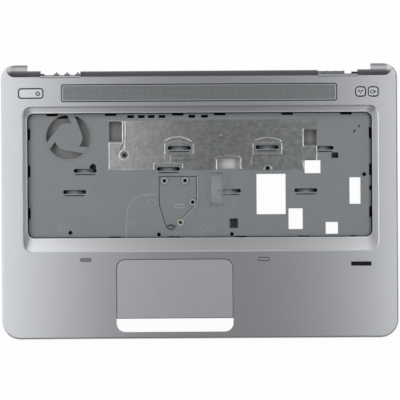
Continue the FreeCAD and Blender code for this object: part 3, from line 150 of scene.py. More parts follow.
def make_mesh(name, points, faces, material, body):
    """A mesh piece from points in millimetres that rides on a body."""
    mesh = bpy.data.meshes.new(name)
    mesh.from_pydata(np.asarray(points) * MM, [], faces)
    mesh.update()
    piece = bpy.data.objects.new(name, mesh)
    bpy.context.scene.collection.objects.link(piece)
    mesh.materials.append(material)
    if body:
        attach(piece, body)
    return piece


def thicken(piece, name, thickness):
    """Gives a sheet its thickness, all of it below the sheet's points."""
    wall = piece.modifiers.new(name, "SOLIDIFY")
    wall.thickness = thickness * MM
    wall.offset = -1.0


def grid_faces(rows, columns, around=False):
    """The quads of a grid of rows by columns points, closed round its rows where asked."""
    last = rows if around else rows - 1
    i, j = np.meshgrid(np.arange(last), np.arange(columns - 1), indexing="ij")
    a = i * columns + j
    b = (i + 1) % rows * columns + j
    return np.stack([a, b, b + 1, a + 1], axis=-1).reshape(-1, 4).tolist()


# Finishes

# Hinge trough: its axis, its radius, half its straight length and the depth of its painted skin
TROUGH_AXIS_Y = 113.5
TROUGH_AXIS_Z = 12.5
TROUGH_R = 7.0
TROUGH_HALF = 157.2
TROUGH_SKIN = (TROUGH_R - 0.2, TROUGH_R + 0.05)


def trough_mask_and_painted_light(tree, x, y, z, facing):
    """Mask and colour of the hinge trough: painted shade where its faces turn to the back and to
    the front, light where they turn up, and a painted highlight in the cup ends."""
    past_end = add(tree, "Math", {0: x}, operation="ABSOLUTE").outputs[0]
    past_end = add(tree, "Math", {
        0: past_end, 1: TROUGH_HALF * MM}, operation="SUBTRACT").outputs[0]
    past_end = add(tree, "Math", {0: past_end, 1: 0.0}, operation="MAXIMUM").outputs[0]
    across = add(tree, "Math", {0: y, 1: TROUGH_AXIS_Y * MM}, operation="SUBTRACT").outputs[0]
    up = add(tree, "Math", {0: z, 1: TROUGH_AXIS_Z * MM}, operation="SUBTRACT").outputs[0]
    from_axis = add(tree, "CombineXYZ", {0: past_end, 1: across, 2: up}).outputs[0]
    reach = add(tree, "VectorMath", {0: from_axis}, operation="LENGTH").outputs["Value"]
    mask = inside(tree, (reach, *TROUGH_SKIN))
    nx, ny, _ = add(tree, "SeparateXYZ", {"Vector": facing}).outputs
    slope = add(tree, "MapRange", {"Value": ny, "From Min": -1.0}).outputs["Result"]
    # Painted shade by the way each face turns: dark where it turns to the back and to the front,
    # light where it turns up
    lacquer = shades(tree, slope, (
        (0.2, "5a5b5e"), (0.5, "c4c5c8"), (0.58, "a4a5a8"), (0.66, "606164"), (0.8, "46474a"),
        (1.0, "2e2f31")))
    # Painted highlight on the cup ends: faces turned to the sides and not to the front
    cup_end_highlight = add(tree, "Math", {0: nx}, operation="ABSOLUTE").outputs[0]
    cup_end_highlight = add(tree, "MapRange", {"Value": cup_end_highlight, "From Min": 0.35, "From Max": 0.75})
    not_front = add(tree, "MapRange", {"Value": ny, "From Min": 0.5, "From Max": 0.1})
    cup_end_highlight = add(tree, "Math", {
        0: cup_end_highlight.outputs["Result"], 1: not_front.outputs["Result"]}, operation="MULTIPLY")
    return mask, coat(tree, lacquer, cup_end_highlight.outputs[0], "f0f0f2")


# Foot of the bay's bevel: its middle in X and Y, half its length and width, its corner radius
BAY_FOOT = (0.2, 22.35, 147.1, 53.35, 6.0)
# Heights that the bevel spans and those over which its painted light turns, and the width of its
# foot's painted highlight
BEVEL_Z = (10.5, 11.97)
BEVEL_TURN_Z = (10.6, 11.7)
FOOT_HIGHLIGHT_WIDTH = 0.6
# A face whose normal stands more upright than this counts as level
LEVEL = 0.9995


def past_foot(tree, x, y):
    """Distance outward from the round-cornered foot of the bay's bevel, in metres: how far the
    place lies past the straight sides, less the corner radius."""
    mid_x, mid_y, half_x, half_y, radius = BAY_FOOT
    reach = []
    for value, middle, half in ((x, mid_x, half_x), (y, mid_y, half_y)):
        value = add(tree, "Math", {0: value, 1: middle * MM}, operation="SUBTRACT").outputs[0]
        value = add(tree, "Math", {0: value}, operation="ABSOLUTE").outputs[0]
        value = add(tree, "Math", {0: value, 1: (half - radius) * MM}, operation="SUBTRACT")
        reach.append(value.outputs[0])
    outer = [
        add(tree, "Math", {0: value, 1: 0.0}, operation="MAXIMUM").outputs[0] for value in reach]
    outer = add(tree, "CombineXYZ", {0: outer[0], 1: outer[1]}).outputs[0]
    corner = add(tree, "VectorMath", {0: outer}, operation="LENGTH")
    inner = add(tree, "Math", {0: reach[0], 1: reach[1]}, operation="MAXIMUM").outputs[0]
    inner = add(tree, "Math", {0: inner, 1: 0.0}, operation="MINIMUM").outputs[0]
    total = add(tree, "Math", {0: corner.outputs["Value"], 1: inner}, operation="ADD").outputs[0]
    return add(tree, "Math", {0: total, 1: radius * MM}, operation="SUBTRACT").outputs[0]


def bevel_painted_light(tree, under, z, facing, foot):
    """Painted light on the lacquer of the bay's bevel: slopes that look to the back and left are
    painted lighter, those that look to the front and right darker, with a painted highlight on
    the foot edge."""
    nx, ny, nz = add(tree, "SeparateXYZ", {"Vector": facing}).outputs
    slope = inside(tree, (z, *BEVEL_Z))
    tilted = add(tree, "Math", {0: nz, 1: LEVEL}, operation="LESS_THAN").outputs[0]
    slope = add(tree, "Math", {0: slope, 1: tilted}, operation="MULTIPLY").outputs[0]
    turn = add(tree, "Math", {0: ny, 1: nx}, operation="SUBTRACT").outputs[0]
    light_side = add(tree, "Math", {0: turn, 1: 0.02}, operation="GREATER_THAN").outputs[0]
    low, high = BEVEL_TURN_Z
    up = add(tree, "MapRange", {
        "Value": z, "From Min": low * MM, "From Max": high * MM}).outputs["Result"]
    dark = shades(tree, up, ((0.0, "cacccf"), (0.9, "b2b4b7"), (1.0, "a6a8ab")))
    light = shades(tree, up, ((0.0, "dee0e3"), (0.9, "eaebed"), (1.0, "b8babd")))
    colour = add(tree, "Mix", {0: light_side, 6: dark, 7: light}, data_type="RGBA").outputs[2]
    # Painted highlight along the bevel's foot
    edge = add(tree, "Math", {0: foot, 1: FOOT_HIGHLIGHT_WIDTH * MM}, operation="LESS_THAN").outputs[0]
    colour = coat(tree, colour, edge, "f4f5f6")
    return add(tree, "Mix", {0: slope, 6: under, 7: colour}, data_type="RGBA").outputs[2]


# Where the cover is bare or carries painted light: inside of its skirt, tray and inside below the
# deck, walls of openings and seat of the grille (both painted shade), ledge in the gaps of the back
# edge with a painted highlight on its edge and painted shade on the deck's edge before it, painted
# shadow at the bevel's foot (past the foot, then height), sunken scoop with painted shade at its
# ends
SKIRT = ((-167.1, 167.1), (-115.1, 106.3))
TRAY_HEIGHTS = (-1.0, 10.19)
WALL_HEIGHTS = (4.85, 11.96)
WALL_TILT = 0.35
GRILLE_SEAT = ((-119.0, 119.0), (84.5, 101.0), (10.3, 11.5))
REAR_GAP = (101.2, 135.6)
LEDGE = ((106.52, 112.0), (7.0, 10.4))
LEDGE_HIGHLIGHT_SPAN = ((106.52, 107.3), (7.0, 10.4))
GAP_EDGE_PAINTED_SHADE = (105.6, 106.6)
FOOT_SHADOW_SPAN = ((-0.75, 0.2), (5.9, 6.1))
SCOOP = ((8.8, 19.9), (-3.9, 25.1), (4.9, 5.98))
SCOOP_MIDDLE_Y = 10.6
SCOOP_HALF_Y = 14.6


def cover_finish():
    """Silver lacquer on moulded ABS: metal flake gives the deck its bright and dark sweep; tray and
    inside are bare. Painted shade darkens the walls of openings, the grille's seat, the bevel's
    foot, the scoop's ends and the hinge trough; painted highlights lie on the bevel, the cup ends
    and the rear ledge's edge."""
    material, tree = new_material("silver_lacquer_and_grey_abs")
    place = add(tree, "TexCoord").outputs["Object"]
    x, y, z = add(tree, "SeparateXYZ", {"Vector": place}).outputs
    facing = add(tree, "NewGeometry").outputs["Normal"]
    nz = add(tree, "SeparateXYZ", {"Vector": facing}).outputs["Z"]
    within_skirt = inside(tree, *((v, *span) for v, span in zip((x, y), SKIRT)))
    tray = inside(tree, (z, *TRAY_HEIGHTS))
    tray = add(tree, "Math", {0: tray, 1: within_skirt}, operation="MULTIPLY").outputs[0]
    # Painted shade on the walls of openings: upright faces within the skirt, near black
    upright = add(tree, "Math", {0: nz, 1: 0.0, 2: WALL_TILT}, operation="COMPARE").outputs[0]
    wall = inside(tree, (z, *WALL_HEIGHTS))
    for mask in (upright, within_skirt):
        wall = add(tree, "Math", {0: wall, 1: mask}, operation="MULTIPLY").outputs[0]
    # Painted shadow on the seat under the grille, near black
    grille_seat_shadow = inside(tree, *((v, *span) for v, span in zip((x, y, z), GRILLE_SEAT)))
    trough, trough_painted_light = trough_mask_and_painted_light(tree, x, y, z, facing)
    aside = add(tree, "Math", {0: x}, operation="ABSOLUTE").outputs[0]
    gap = (aside, *REAR_GAP)
    ledge = inside(tree, gap, (y, *LEDGE[0]), (z, *LEDGE[1]))
    # Painted highlight along the ledge's front edge
    ledge_painted_highlight = inside(tree, gap, (y, *LEDGE_HIGHLIGHT_SPAN[0]), (z, *LEDGE_HIGHLIGHT_SPAN[1]))
    bare_or_painted_shade = tray
    for mask in (wall, grille_seat_shadow, trough, ledge):
        bare_or_painted_shade = add(tree, "Math", {0: bare_or_painted_shade, 1: mask}, operation="MAXIMUM").outputs[0]
    brushed = speckle(tree, place, 0.5, BRUSHED)
    rounded = add(tree, "Bevel", {"Radius": 0.3 * MM}, samples=4).outputs["Normal"]
    foot = past_foot(tree, x, y)
    lacquer = tint(tree, brushed, *SOFT_MIX, "c6c8cc", "cbcdd1")
    lacquer = bevel_painted_light(tree, lacquer, z, facing, foot)
    # Painted shade on the deck's edge in front of each rear gap
    lacquer = coat(tree, lacquer, inside(tree, gap, (y, *GAP_EDGE_PAINTED_SHADE)), "808285")
    silver = add(tree, "BsdfPrincipled", {
        "Base Color": lacquer, "Metallic": 0.9, "Roughness": 0.36, "Normal": rounded})
    # Painted shadow in a band on the floor along the bevel's foot
    foot_shadow = inside(tree, (foot, *FOOT_SHADOW_SPAN[0]), (z, *FOOT_SHADOW_SPAN[1]))
    scoop = inside(tree, *((v, *span) for v, span in zip((x, y, z), SCOOP)))
    # Painted shade darkening the scoop towards its two ends
    ends = add(tree, "Math", {0: y, 1: SCOOP_MIDDLE_Y * MM}, operation="SUBTRACT").outputs[0]
    ends = add(tree, "Math", {0: ends}, operation="ABSOLUTE").outputs[0]
    ends = add(tree, "MapRange", {"Value": ends, "From Max": SCOOP_HALF_Y * MM}).outputs["Result"]
    scoop_painted_shade = shades(
        tree, ends, ((0.0, "8c9091"), (0.7, "7e8283"), (0.88, "64686a"), (1.0, "45484a")))
    mottle = speckle(tree, place, 9.0)
    fine = speckle(tree, place, 0.35)
    colour = tint(tree, mottle, *SOFT_MIX, "7a7e81", "7e8285")
    for mask, over in (
            (scoop, scoop_painted_shade), (foot_shadow, "303234"), (wall, "232526"), (grille_seat_shadow, "1c1d1f"),
            (ledge, "66686a"), (ledge_painted_highlight, "e4e4e6"), (trough, trough_painted_light)):
        colour = coat(tree, colour, mask, over)
    resin = add(tree, "BsdfPrincipled", {
        "Base Color": colour, "Roughness": 0.5, "Normal": relief(tree, fine, 0.004)})
    both = add(tree, "MixShader", {0: bare_or_painted_shade, 1: silver.outputs["BSDF"], 2: resin.outputs["BSDF"]})
    return finish_material(material, tree, both.outputs["Shader"], "b8babd")


CAP_SHADE_HEIGHTS = (-1.0, 11.2)


def cap_finish():
    """Silver lacquer on moulded key caps, a little lighter than the deck; below the deck their
    sides
    are painted near black: painted shade for the gap round each key."""
    material, tree = new_material("silver_lacquered_caps")
    place = add(tree, "TexCoord").outputs["Object"]
    z = add(tree, "SeparateXYZ", {"Vector": place}).outputs["Z"]
    brushed = speckle(tree, place, 0.5, BRUSHED)
    silver = add(tree, "BsdfPrincipled", {
        "Base Color": tint(tree, brushed, *SOFT_MIX, "cbcdd1", "d3d5d9"),
        "Metallic": 0.88, "Roughness": 0.38})
    # Painted shade on the caps' sides below the deck, near black
    resin = add(tree, "BsdfPrincipled", {"Base Color": linear("232426"), "Roughness": 0.6})
    bare_or_painted_shade = inside(tree, (z, *CAP_SHADE_HEIGHTS))
    both = add(tree, "MixShader", {0: bare_or_painted_shade, 1: silver.outputs["BSDF"], 2: resin.outputs["BSDF"]})
    return finish_material(material, tree, both.outputs["Shader"], "c8cacd")


def sheet_steel_finish(name, with_painted_light):
    """Stamped, zinc-coated sheet steel: mottled grey with fine scratches; where asked, the mesh's
    painted light layer adds painted highlights and painted shade."""
    material, tree = new_material(name)
    place = add(tree, "TexCoord").outputs["Object"]
    spangle = speckle(tree, place, 5.0)
    scratches = speckle(tree, place, 0.9, (4.0, 1.5, 1.0))
    worn = add(tree, "Math", {0: spangle, 1: scratches}, operation="ADD").outputs[0]
    tone_and_painted_light = add(tree, "MapRange", {
        "Value": worn, "From Min": 0.7, "From Max": 1.3, "To Min": -0.08, "To Max": 0.08})
    tone_and_painted_light = tone_and_painted_light.outputs["Result"]
    # The painted light layer: painted highlights and shade along the stamped lines
    stamped = add(tree, "Attribute", attribute_name="tone_and_painted_light").outputs["Fac"] if with_painted_light else 0.5
    tone_and_painted_light = add(tree, "Math", {0: tone_and_painted_light, 1: stamped}, operation="ADD").outputs[0]
    shader = add(tree, "BsdfPrincipled", {
        "Base Color": shades(tree, tone_and_painted_light, ((0.0, "262928"), (0.5, "9da29f"), (1.0, "ffffff"))),
        "Metallic": 0.9, "Roughness": 0.34, "Normal": relief(tree, worn, 0.03)})
    return finish_material(material, tree, shader.outputs["BSDF"], "9a9c9a")


def film_finish():
    """Clear polyester tape: nearly all of it lets light by, and its face gives a soft sheen."""
    material, tree = new_material("clear_polyester_tape")
    place = add(tree, "TexCoord").outputs["Object"]
    wrinkle = speckle(tree, place, 4.0, (1.0, 3.0, 1.0))
    shader = add(tree, "BsdfPrincipled", {
        "Base Color": tint(tree, wrinkle, *SOFT_MIX, "b9bcbc", "cfd2d2"), "Roughness": 0.22,
        "Alpha": 0.08, "Normal": relief(tree, wrinkle, 0.05)})
    return finish_material(material, tree, shader.outputs["BSDF"], "c8caca")


finishes = {
    "silver_cover": cover_finish(),
    "silver_keys": cap_finish(),
    # Painted steel touch sheet: smooth, slightly duller than the lacquer round it.
    "touch_surface": plain_finish(
        "painted_touch_sheet", "babcc1", "bfc1c6", 0.5, 0.46, 0.8, 0.002, BRUSHED),
    # Painted steel grille: a dark grey that the holes make darker.
    "grille_metal": plain_finish("painted_grille_steel", "8a8d8f", "8f9294", 0.6, 0.45, 0.6),
    # Woven polyester dust cloth: black, dull.
    "black_cloth": plain_finish("woven_polyester_cloth", "2a2c2e", "383a3c", 0.5, 0.9, 0.0, 0.08),
    "stamped_sheet": sheet_steel_finish("stamped_zinc_steel", False),
    "clear_film": film_finish(),
    # Grey ABS trims: bare moulded resin, even and half dull.
    "grey_resin": plain_finish("grey_abs_trim", "585c5e", "7e8284", 1.2, 0.5),
    # Black nylon switch body and plunger: dull black.
    "switch_black": plain_finish("black_nylon", "17181a", "232527", 0.6, 0.6),
    # Glass-fibre circuit board under green solder mask: glossy green with a faint weave.
    "circuit_board": plain_finish("green_solder_mask", "1f4a33", "2c5f43", 0.6, 0.35),
    # Connector body: cream nylon, half dull.
    "connector_plastic": plain_finish("cream_nylon", "cfc7b0", "dcd5c1", 0.8, 0.5),
    # Zinc-plated screws: bright grey metal.
    "screw_steel": plain_finish("zinc_plated_steel", "a3a6a8", "c3c6c8", 0.4, 0.3, 1.0),
    # Swipe sensor: black epoxy with a wet gloss.
    "sensor_black": plain_finish("black_epoxy", "141517", "1d1f22", 2.0, 0.18, 0.0, 0.001),
    # Grey rubber foot: dull, soft grain.
    "bumper_rubber": plain_finish("grey_rubber", "6b6d70", "797b7e", 0.7, 0.8, 0.0, 0.02),
    # Turned and knurled brass: warm bright metal.
    "insert_brass": plain_finish(
        "turned_brass", "b08d4a", "cfae69", 0.4, 0.3, 1.0, 0.03, (1.0, 1.0, 4.0)),
}

node_finish = {
    "top_cover": "silver_cover", "speaker_grille": "grille_metal",
    "grille_dust_mesh": "black_cloth", "keyboard_shield_plate": "stamped_sheet",
    "clear_tape": "clear_film", "cable_guide": "grey_resin", "power_button": "silver_keys",
    "wireless_button": "silver_keys", "mute_button": "silver_keys",
    "power_switch_plunger": "switch_black", "wireless_switch_plunger": "switch_black",
    "mute_switch_plunger": "switch_black", "power_tact_switch": "switch_black",
    "wireless_tact_switch": "switch_black", "mute_tact_switch": "switch_black",
    "power_switch_board": "circuit_board", "quick_switch_board": "circuit_board",
    "board_screws": "screw_steel", "touchpad_sheet": "touch_surface",
    "touchpad_board": "circuit_board", "touchpad_connector": "connector_plastic",
    "touchpad_bracket": "stamped_sheet", "fingerprint_sensor": "sensor_black",
    "fingerprint_board": "circuit_board", "left_bumper": "bumper_rubber",
    "threaded_inserts": "insert_brass", "tray_insert": "grey_resin",
}
for node, finish in node_finish.items():
    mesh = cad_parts[node].data
    mesh.materials.clear()
    mesh.materials.append(finishes[finish])

# Speaker grille: its middle in X and Y, its length and width, then its top, border, holes and sheet
GRILLE = (0.0, 92.65, 233.8, 13.6)
GRILLE_TOP = 11.8
GRILLE_BORDER = 0.8
HOLE_PITCH = 1.0
HOLE_R = 0.28
HOLE_SIDES = 8
GRILLE_SHEET = 0.5


def perforated_plate(name):
    """A flat plate of square cells, each a square ring whose inside is an eight-sided hole; a
    plain border closes it."""
    middle_x, middle_y, length, width = GRILLE
    across = int((length - 2 * GRILLE_BORDER) / HOLE_PITCH)
    deep = int((width - 2 * GRILLE_BORDER) / HOLE_PITCH)
    i, j = np.meshgrid(np.arange(across), np.arange(deep), indexing="ij")
    centre_x = middle_x + (i - (across - 1) / 2) * HOLE_PITCH
    centre_y = middle_y + (j - (deep - 1) / 2) * HOLE_PITCH
    centre = np.column_stack([centre_x.ravel(), centre_y.ravel()])
    angle = np.arange(HOLE_SIDES) * math.pi * 2 / HOLE_SIDES
    ring = np.column_stack([np.cos(angle), np.sin(angle)])
    cell = HOLE_PITCH / 2 * np.sign(np.round(ring, 6))
    flat = (centre[:, None, None, :] + np.stack([HOLE_R * ring, cell])[None]).reshape(-1, 2)
    inner = np.arange(len(centre))[:, None] * 2 * HOLE_SIDES
    outer = inner + HOLE_SIDES
    k = np.arange(HOLE_SIDES)[None]
    after = (k + 1) % HOLE_SIDES
    quads = np.stack([inner + k, outer + k, outer + after, inner + after], axis=-1).reshape(-1, 4)
    half_x, half_y = across * HOLE_PITCH / 2, deep * HOLE_PITCH / 2
    outer_x, outer_y = length / 2, width / 2
    border = np.array([
        (-half_x, -half_y), (half_x, -half_y), (half_x, half_y), (-half_x, half_y),
        (-outer_x, -half_y), (-half_x, -outer_y), (half_x, -outer_y), (outer_x, -half_y),
        (outer_x, half_y), (half_x, outer_y), (-half_x, outer_y), (-outer_x, half_y)])
    border += (middle_x, middle_y)
    base = len(flat)
    rims = [
        (5, 6, 1, 0), (1, 7, 8, 2), (3, 2, 9, 10), (4, 0, 3, 11),
        (4, 5, 0), (6, 7, 1), (8, 9, 2), (10, 11, 3)]
    faces = quads.tolist() + [[base + p for p in rim] for rim in rims]
    points = np.concatenate([flat, border])
    points = np.column_stack([points, np.full(len(points), GRILLE_TOP)])
    piece = make_mesh(name, points, faces, finishes["grille_metal"], None)
    weld = piece.modifiers.new("weld", "WELD")
    weld.merge_threshold = 0.02 * MM
    thicken(piece, "sheet", GRILLE_SHEET)
    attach(piece, "root")
    return piece


grille = perforated_plate("speaker_grille_fine")
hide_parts("speaker_grille")

# Stamped shield plate: one pressed surface


def arc(x, y, radius, start, end, count=24):
    """Points on a circle round x, y from one angle to another, in degrees."""
    angle = np.radians(np.linspace(start, end, count, endpoint=abs(end - start) < 360))
    return np.column_stack([x + radius * np.cos(angle), y + radius * np.sin(angle)])


# The plate's box in X and Y, its top and sheet, the grid's step; then its cuts and round holes
PLATE = (-77.5, 100.7, 26.9, 69.4)
PLATE_TOP = 6.4
PLATE_SHEET = 0.36
GRID_STEP = 0.5
PLATE_CUTS = (
    (-78.0, -66.0, 50.7, 68.8), (89.1, 101.0, 46.8, 60.9), (15.1, 34.1, 26.5, 37.1),
    (89.9, 103.4, 23.5, 34.5), (-27.8, -6.6, 41.4, 48.0), (47.3, 68.5, 41.6, 48.2),
    (-37.6, -15.6, 22.4, 30.4))
PLATE_HOLES = ((-64.2, 39.8, 1.5), (58.2, 27.9, 2.0))
# What the table's heights and painted light are taken times; the sheet's slight waves, their
# height and their turns a millimetre; the base of its painted light, how much lighter its left is
# painted, where and over what length
LINE_HEIGHT = 0.35
LINE_PAINTED_LIGHT = 0.42
WAVE = (0.04, 0.21, 0.31)
PLATE_TONE = 0.55
LEFT_PAINTED_LIGHT = 0.17
LEFT_FROM, LEFT_OVER = 10.0, 70.0
# Each stamped line: its path, its half width, its painted highlight (painted shade where it is
# below zero) and how high it stands
STAMPED = (
    (((-65.3, 51.0), (-65.3, 68.3)), 0.5, 0.3, 0.3),
    (((-64.1, 51.0), (-64.1, 68.3)), 0.3, -0.35, -0.1),
    (((-63.0, 51.0), (-63.0, 68.0)), 0.4, 0.2, 0.2),
    (((-65.5, 67.9), (-61.0, 67.9)), 0.4, 0.4, 0.3),
    (((-76.8, 27.9), (-76.8, 50.0)), 0.4, 0.4, 0.3),
    (((-77.0, 50.1), (-66.0, 50.1)), 0.4, 0.5, 0.3),
    (((-64.9, 48.8), (-66.9, 45.2)), 0.6, -1.2, -0.3),
    (((-63.6, 44.5), (-63.6, 49.5)), 0.4, 0.3, 0.2), (arc(-64.2, 39.9, 4.0, 0, 361), 0.5, 0.3, 0.3),
    (arc(-64.2, 39.9, 2.3, 0, 361), 0.8, -0.9, 0.2),
    (((-54.6, 45.1), (-54.6, 46.3)), 0.5, -0.35, -0.3),
    (((-57.4, 44.6), (-57.4, 45.8)), 0.5, -0.35, -0.3),
    (((-67.0, 27.5), (-38.6, 27.5)), 0.4, 0.3, 0.2),
    (((-29.3, 40.7), (-29.3, 48.8)), 0.4, 0.5, 0.3), (((-5.1, 40.7), (-5.1, 48.8)), 0.4, 0.5, 0.3),
    (((-28.3, 52.2), (-25.7, 53.7), (-23.0, 54.5), (-19.0, 55.0), (-15.4, 54.8), (-11.0, 53.6),
      (-7.2, 51.5)), 0.45, 0.55, 0.5),
    (((-28.0, 50.8), (-23.0, 53.1), (-15.4, 53.4), (-7.6, 50.5)), 0.4, -0.35, 0.0),
    (((-27.3, 49.9), (-23.0, 51.0), (-19.2, 51.4), (-13.4, 50.7), (-8.6, 49.9)), 0.35, 0.35, 0.2),
    (((-15.4, 57.4), (-8.7, 55.9)), 0.5, -0.15, -0.1),
    (((-23.1, 35.2), (-8.7, 35.2)), 0.9, -0.25, -0.1),
    (((-23.1, 39.0), (-8.7, 39.0)), 1.0, -0.25, -0.1),
    (((-23.0, 36.9), (-13.5, 36.9)), 0.4, 0.2, 0.1),
    (((-30.2, 39.7), (-29.3, 35.4)), 0.45, 0.35, 0.2),
    (((-24.0, 40.2), (-24.9, 34.4)), 0.45, 0.35, 0.2),
    (((-38.8, 28.0), (-38.8, 32.8), (-37.5, 33.2), (-16.3, 32.2)), 0.45, 0.35, 0.3),
    (((-14.3, 31.6), (-14.6, 28.1)), 0.45, 0.45, 0.3),
    (((14.6, 27.2), (14.6, 35.5)), 0.45, 0.55, 0.4), (((13.2, 36.4), (13.6, 37.0)), 0.5, 0.5, 0.2),
    (((15.4, 37.6), (20.1, 38.5), (25.9, 38.7), (32.0, 37.9)), 0.45, 0.45, 0.4),
    (((33.9, 38.2), (35.5, 35.8), (34.8, 32.2), (35.3, 28.0)), 0.5, 0.5, 0.4),
    (((34.5, 27.5), (42.0, 27.5)), 0.35, 0.3, 0.1), (((-6.0, 65.4), (20.0, 65.4)), 0.4, 0.15, 0.1),
    (((-6.0, 64.4), (20.0, 64.4)), 0.4, -0.15, -0.1),
    (((18.3, 56.0), (18.3, 56.8)), 0.5, 0.45, 0.3), (((45.8, 40.7), (45.8, 48.7)), 0.4, 0.5, 0.3),
    (((70.0, 40.6), (70.0, 49.4)), 0.4, 0.5, 0.3), (((46.0, 40.1), (70.0, 40.1)), 0.35, 0.5, 0.2),
    (((46.0, 39.2), (70.0, 39.2)), 0.4, -0.3, 0.0),
    (((48.3, 51.9), (53.1, 53.8), (58.4, 54.2), (64.8, 53.1), (69.7, 51.3)), 0.45, 0.55, 0.5),
    (((48.3, 53.2), (53.1, 55.0), (58.4, 55.4), (64.8, 54.3), (69.7, 52.5)), 0.4, -0.2, 0.0),
    (((47.6, 49.9), (68.3, 49.9)), 0.4, 0.4, 0.2),
    (((46.7, 40.8), (45.0, 38.3), (44.2, 35.3), (44.2, 30.5)), 0.45, 0.3, 0.2),
    (arc(58.35, 27.0, 3.2, 0, 180, 12), 0.5, 0.3, 0.4),
    (((53.0, 31.1), (55.0, 31.1)), 0.9, -0.2, -0.1),
    (((60.6, 31.3), (62.6, 31.3)), 0.9, -0.2, -0.1), (((88.6, 47.0), (88.6, 61.3)), 0.45, 0.5, 0.6),
    (((88.6, 61.4), (100.5, 61.4)), 0.35, -0.3, 0.1),
    (((89.0, 46.2), (100.0, 46.2)), 0.4, 0.35, 0.2),
    (((100.1, 35.0), (100.1, 45.7)), 0.4, 0.4, 0.3),
    (((88.0, 34.4), (89.2, 27.0)), 0.45, 0.45, 0.3), (((90.4, 35.0), (98.0, 35.0)), 0.4, -0.3, 0.0),
    (((40.0, 36.6), (40.0, 37.0)), 0.5, 0.3, 0.1), (((42.0, 36.0), (42.0, 36.3)), 0.5, 0.3, 0.1))


def near(points, path):
    """The distance of each point from a path of straight lines: to the nearest spot of each line,
    the least of them all."""
    path = np.asarray(path, float)
    start, along = path[:-1], np.diff(path, axis=0)
    best = np.full(len(points), np.inf)
    for origin, run in zip(start, along):
        share = np.clip(((points - origin) @ run) / max(run @ run, 1e-9), 0, 1)
        best = np.minimum(best, np.linalg.norm(points - origin - share[:, None] * run, axis=1))
    return best


def ruled(low, high, stops):
    """Evenly spaced values from low to high, with the nearest one moved onto each stop."""
    values = np.linspace(low, high, int(round((high - low) / GRID_STEP)) + 1)
    for stop in stops:
        if low < stop < high:
            values[np.abs(values - stop).argmin()] = stop
    return values


def boxed(places, boxes):
    """Whether each place lies in any of the boxes of low and high X, low and high Y."""
    x, y = places[:, :1], places[:, 1:]
    hits = (x > boxes[:, 0]) & (x < boxes[:, 1]) & (y > boxes[:, 2]) & (y < boxes[:, 3])
    return hits.any(axis=1)


def stamped_plate(name):
    """A grid over the plate: each stamped line lifts it by its height times
    exp(-(distance / half width) ** 2), and quads inside a cut or hole are left out."""
    cuts = np.array(PLATE_CUTS)
    xs = ruled(*PLATE[:2], cuts[:, :2].ravel())
    ys = ruled(*PLATE[2:], cuts[:, 2:].ravel())
    px, py = np.meshgrid(xs, ys, indexing="ij")
    plan = np.column_stack([px.ravel(), py.ravel()])
    for x, y, radius in PLATE_HOLES:
        arm = plan - (x, y)
        reach = np.linalg.norm(arm, axis=1)
        close = np.abs(reach - radius) < 0.5 * GRID_STEP
        plan[close] = (x, y) + arm[close] * (radius / reach[close])[:, None]
    rise = WAVE[0] * np.sin(plan[:, 0] * WAVE[1]) * np.sin(plan[:, 1] * WAVE[2])
    # Painted light: a lighter left side, and painted highlights and shade along the stamped lines
    tone_and_painted_light = PLATE_TONE + LEFT_PAINTED_LIGHT * np.clip((LEFT_FROM - plan[:, 0]) / LEFT_OVER, 0, 1)
    for path, half, painted_lighter, height in STAMPED:
        share = np.exp(-(near(plan, path) / half) ** 2)
        rise += LINE_HEIGHT * height * share
        tone_and_painted_light += LINE_PAINTED_LIGHT * painted_lighter * share
    quads = np.array(grid_faces(len(xs), len(ys)))
    middle = plan[quads].mean(axis=1)
    gone = boxed(middle, cuts)
    for x, y, radius in PLATE_HOLES:
        gone |= np.hypot(middle[:, 0] - x, middle[:, 1] - y) < radius
    quads = quads[~gone]
    used, quads = np.unique(quads, return_inverse=True)
    points = np.column_stack([plan, PLATE_TOP + rise])[used]
    steel = sheet_steel_finish("pressed_zinc_steel_with_painted_light", True)
    plate = make_mesh(name, points, quads.reshape(-1, 4).tolist(), steel, None)
    painted_light_layer = plate.data.attributes.new("tone_and_painted_light", "FLOAT", "POINT")
    painted_light_layer.data.foreach_set("value", np.clip(tone_and_painted_light[used], 0, 1))
    thicken(plate, "sheet", PLATE_SHEET)
    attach(plate, "root")
    return plate


plate = stamped_plate("shield_plate_pressed")
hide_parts("keyboard_shield_plate")

# Lines and beads: a section carried along a path in plan


def carried(name, path, section, z, material, body, closed=True):
    """Each point of the path moves to its left by the section's offsets and up by its heights; an
    open path closes at both ends."""
    path = np.asarray(path, float)
    if closed:
        along = np.roll(path, -1, axis=0) - np.roll(path, 1, axis=0)
    else:
        along = np.gradient(path, axis=0)
    along /= np.linalg.norm(along, axis=1)[:, None]
    side = np.column_stack([-along[:, 1], along[:, 0]])
    spread = np.ones(len(path))
    if not closed:
        path = np.concatenate([path[:1], path, path[-1:]])
        side = np.concatenate([side[:1], side, side[-1:]])
        spread = np.concatenate([[0.0], spread, [0.0]])
    offset, height = np.array(list(section) + list(section[:1]), float).T
    plan = path[:, None] + side[:, None] * (spread[:, None] * offset)[:, :, None]
    rise = z + spread[:, None] * height
    points = np.concatenate([plan, rise[:, :, None]], axis=2).reshape(-1, 3)
    return make_mesh(name, points, grid_faces(len(path), len(offset), closed), material, body)


def flat_section(width, height=0.03):
    """A low rectangle, right side first."""
    half = width / 2
    return [(-half, 0.0), (-half, height), (half, height), (half, 0.0)]


def round_section(width, height):
    """The upper half of an ellipse, right side first."""
    angle = np.linspace(math.pi, 0.0, 9)
    return list(zip(width / 2 * np.cos(angle), height * np.sin(angle)))


CORNER_POINTS = 8


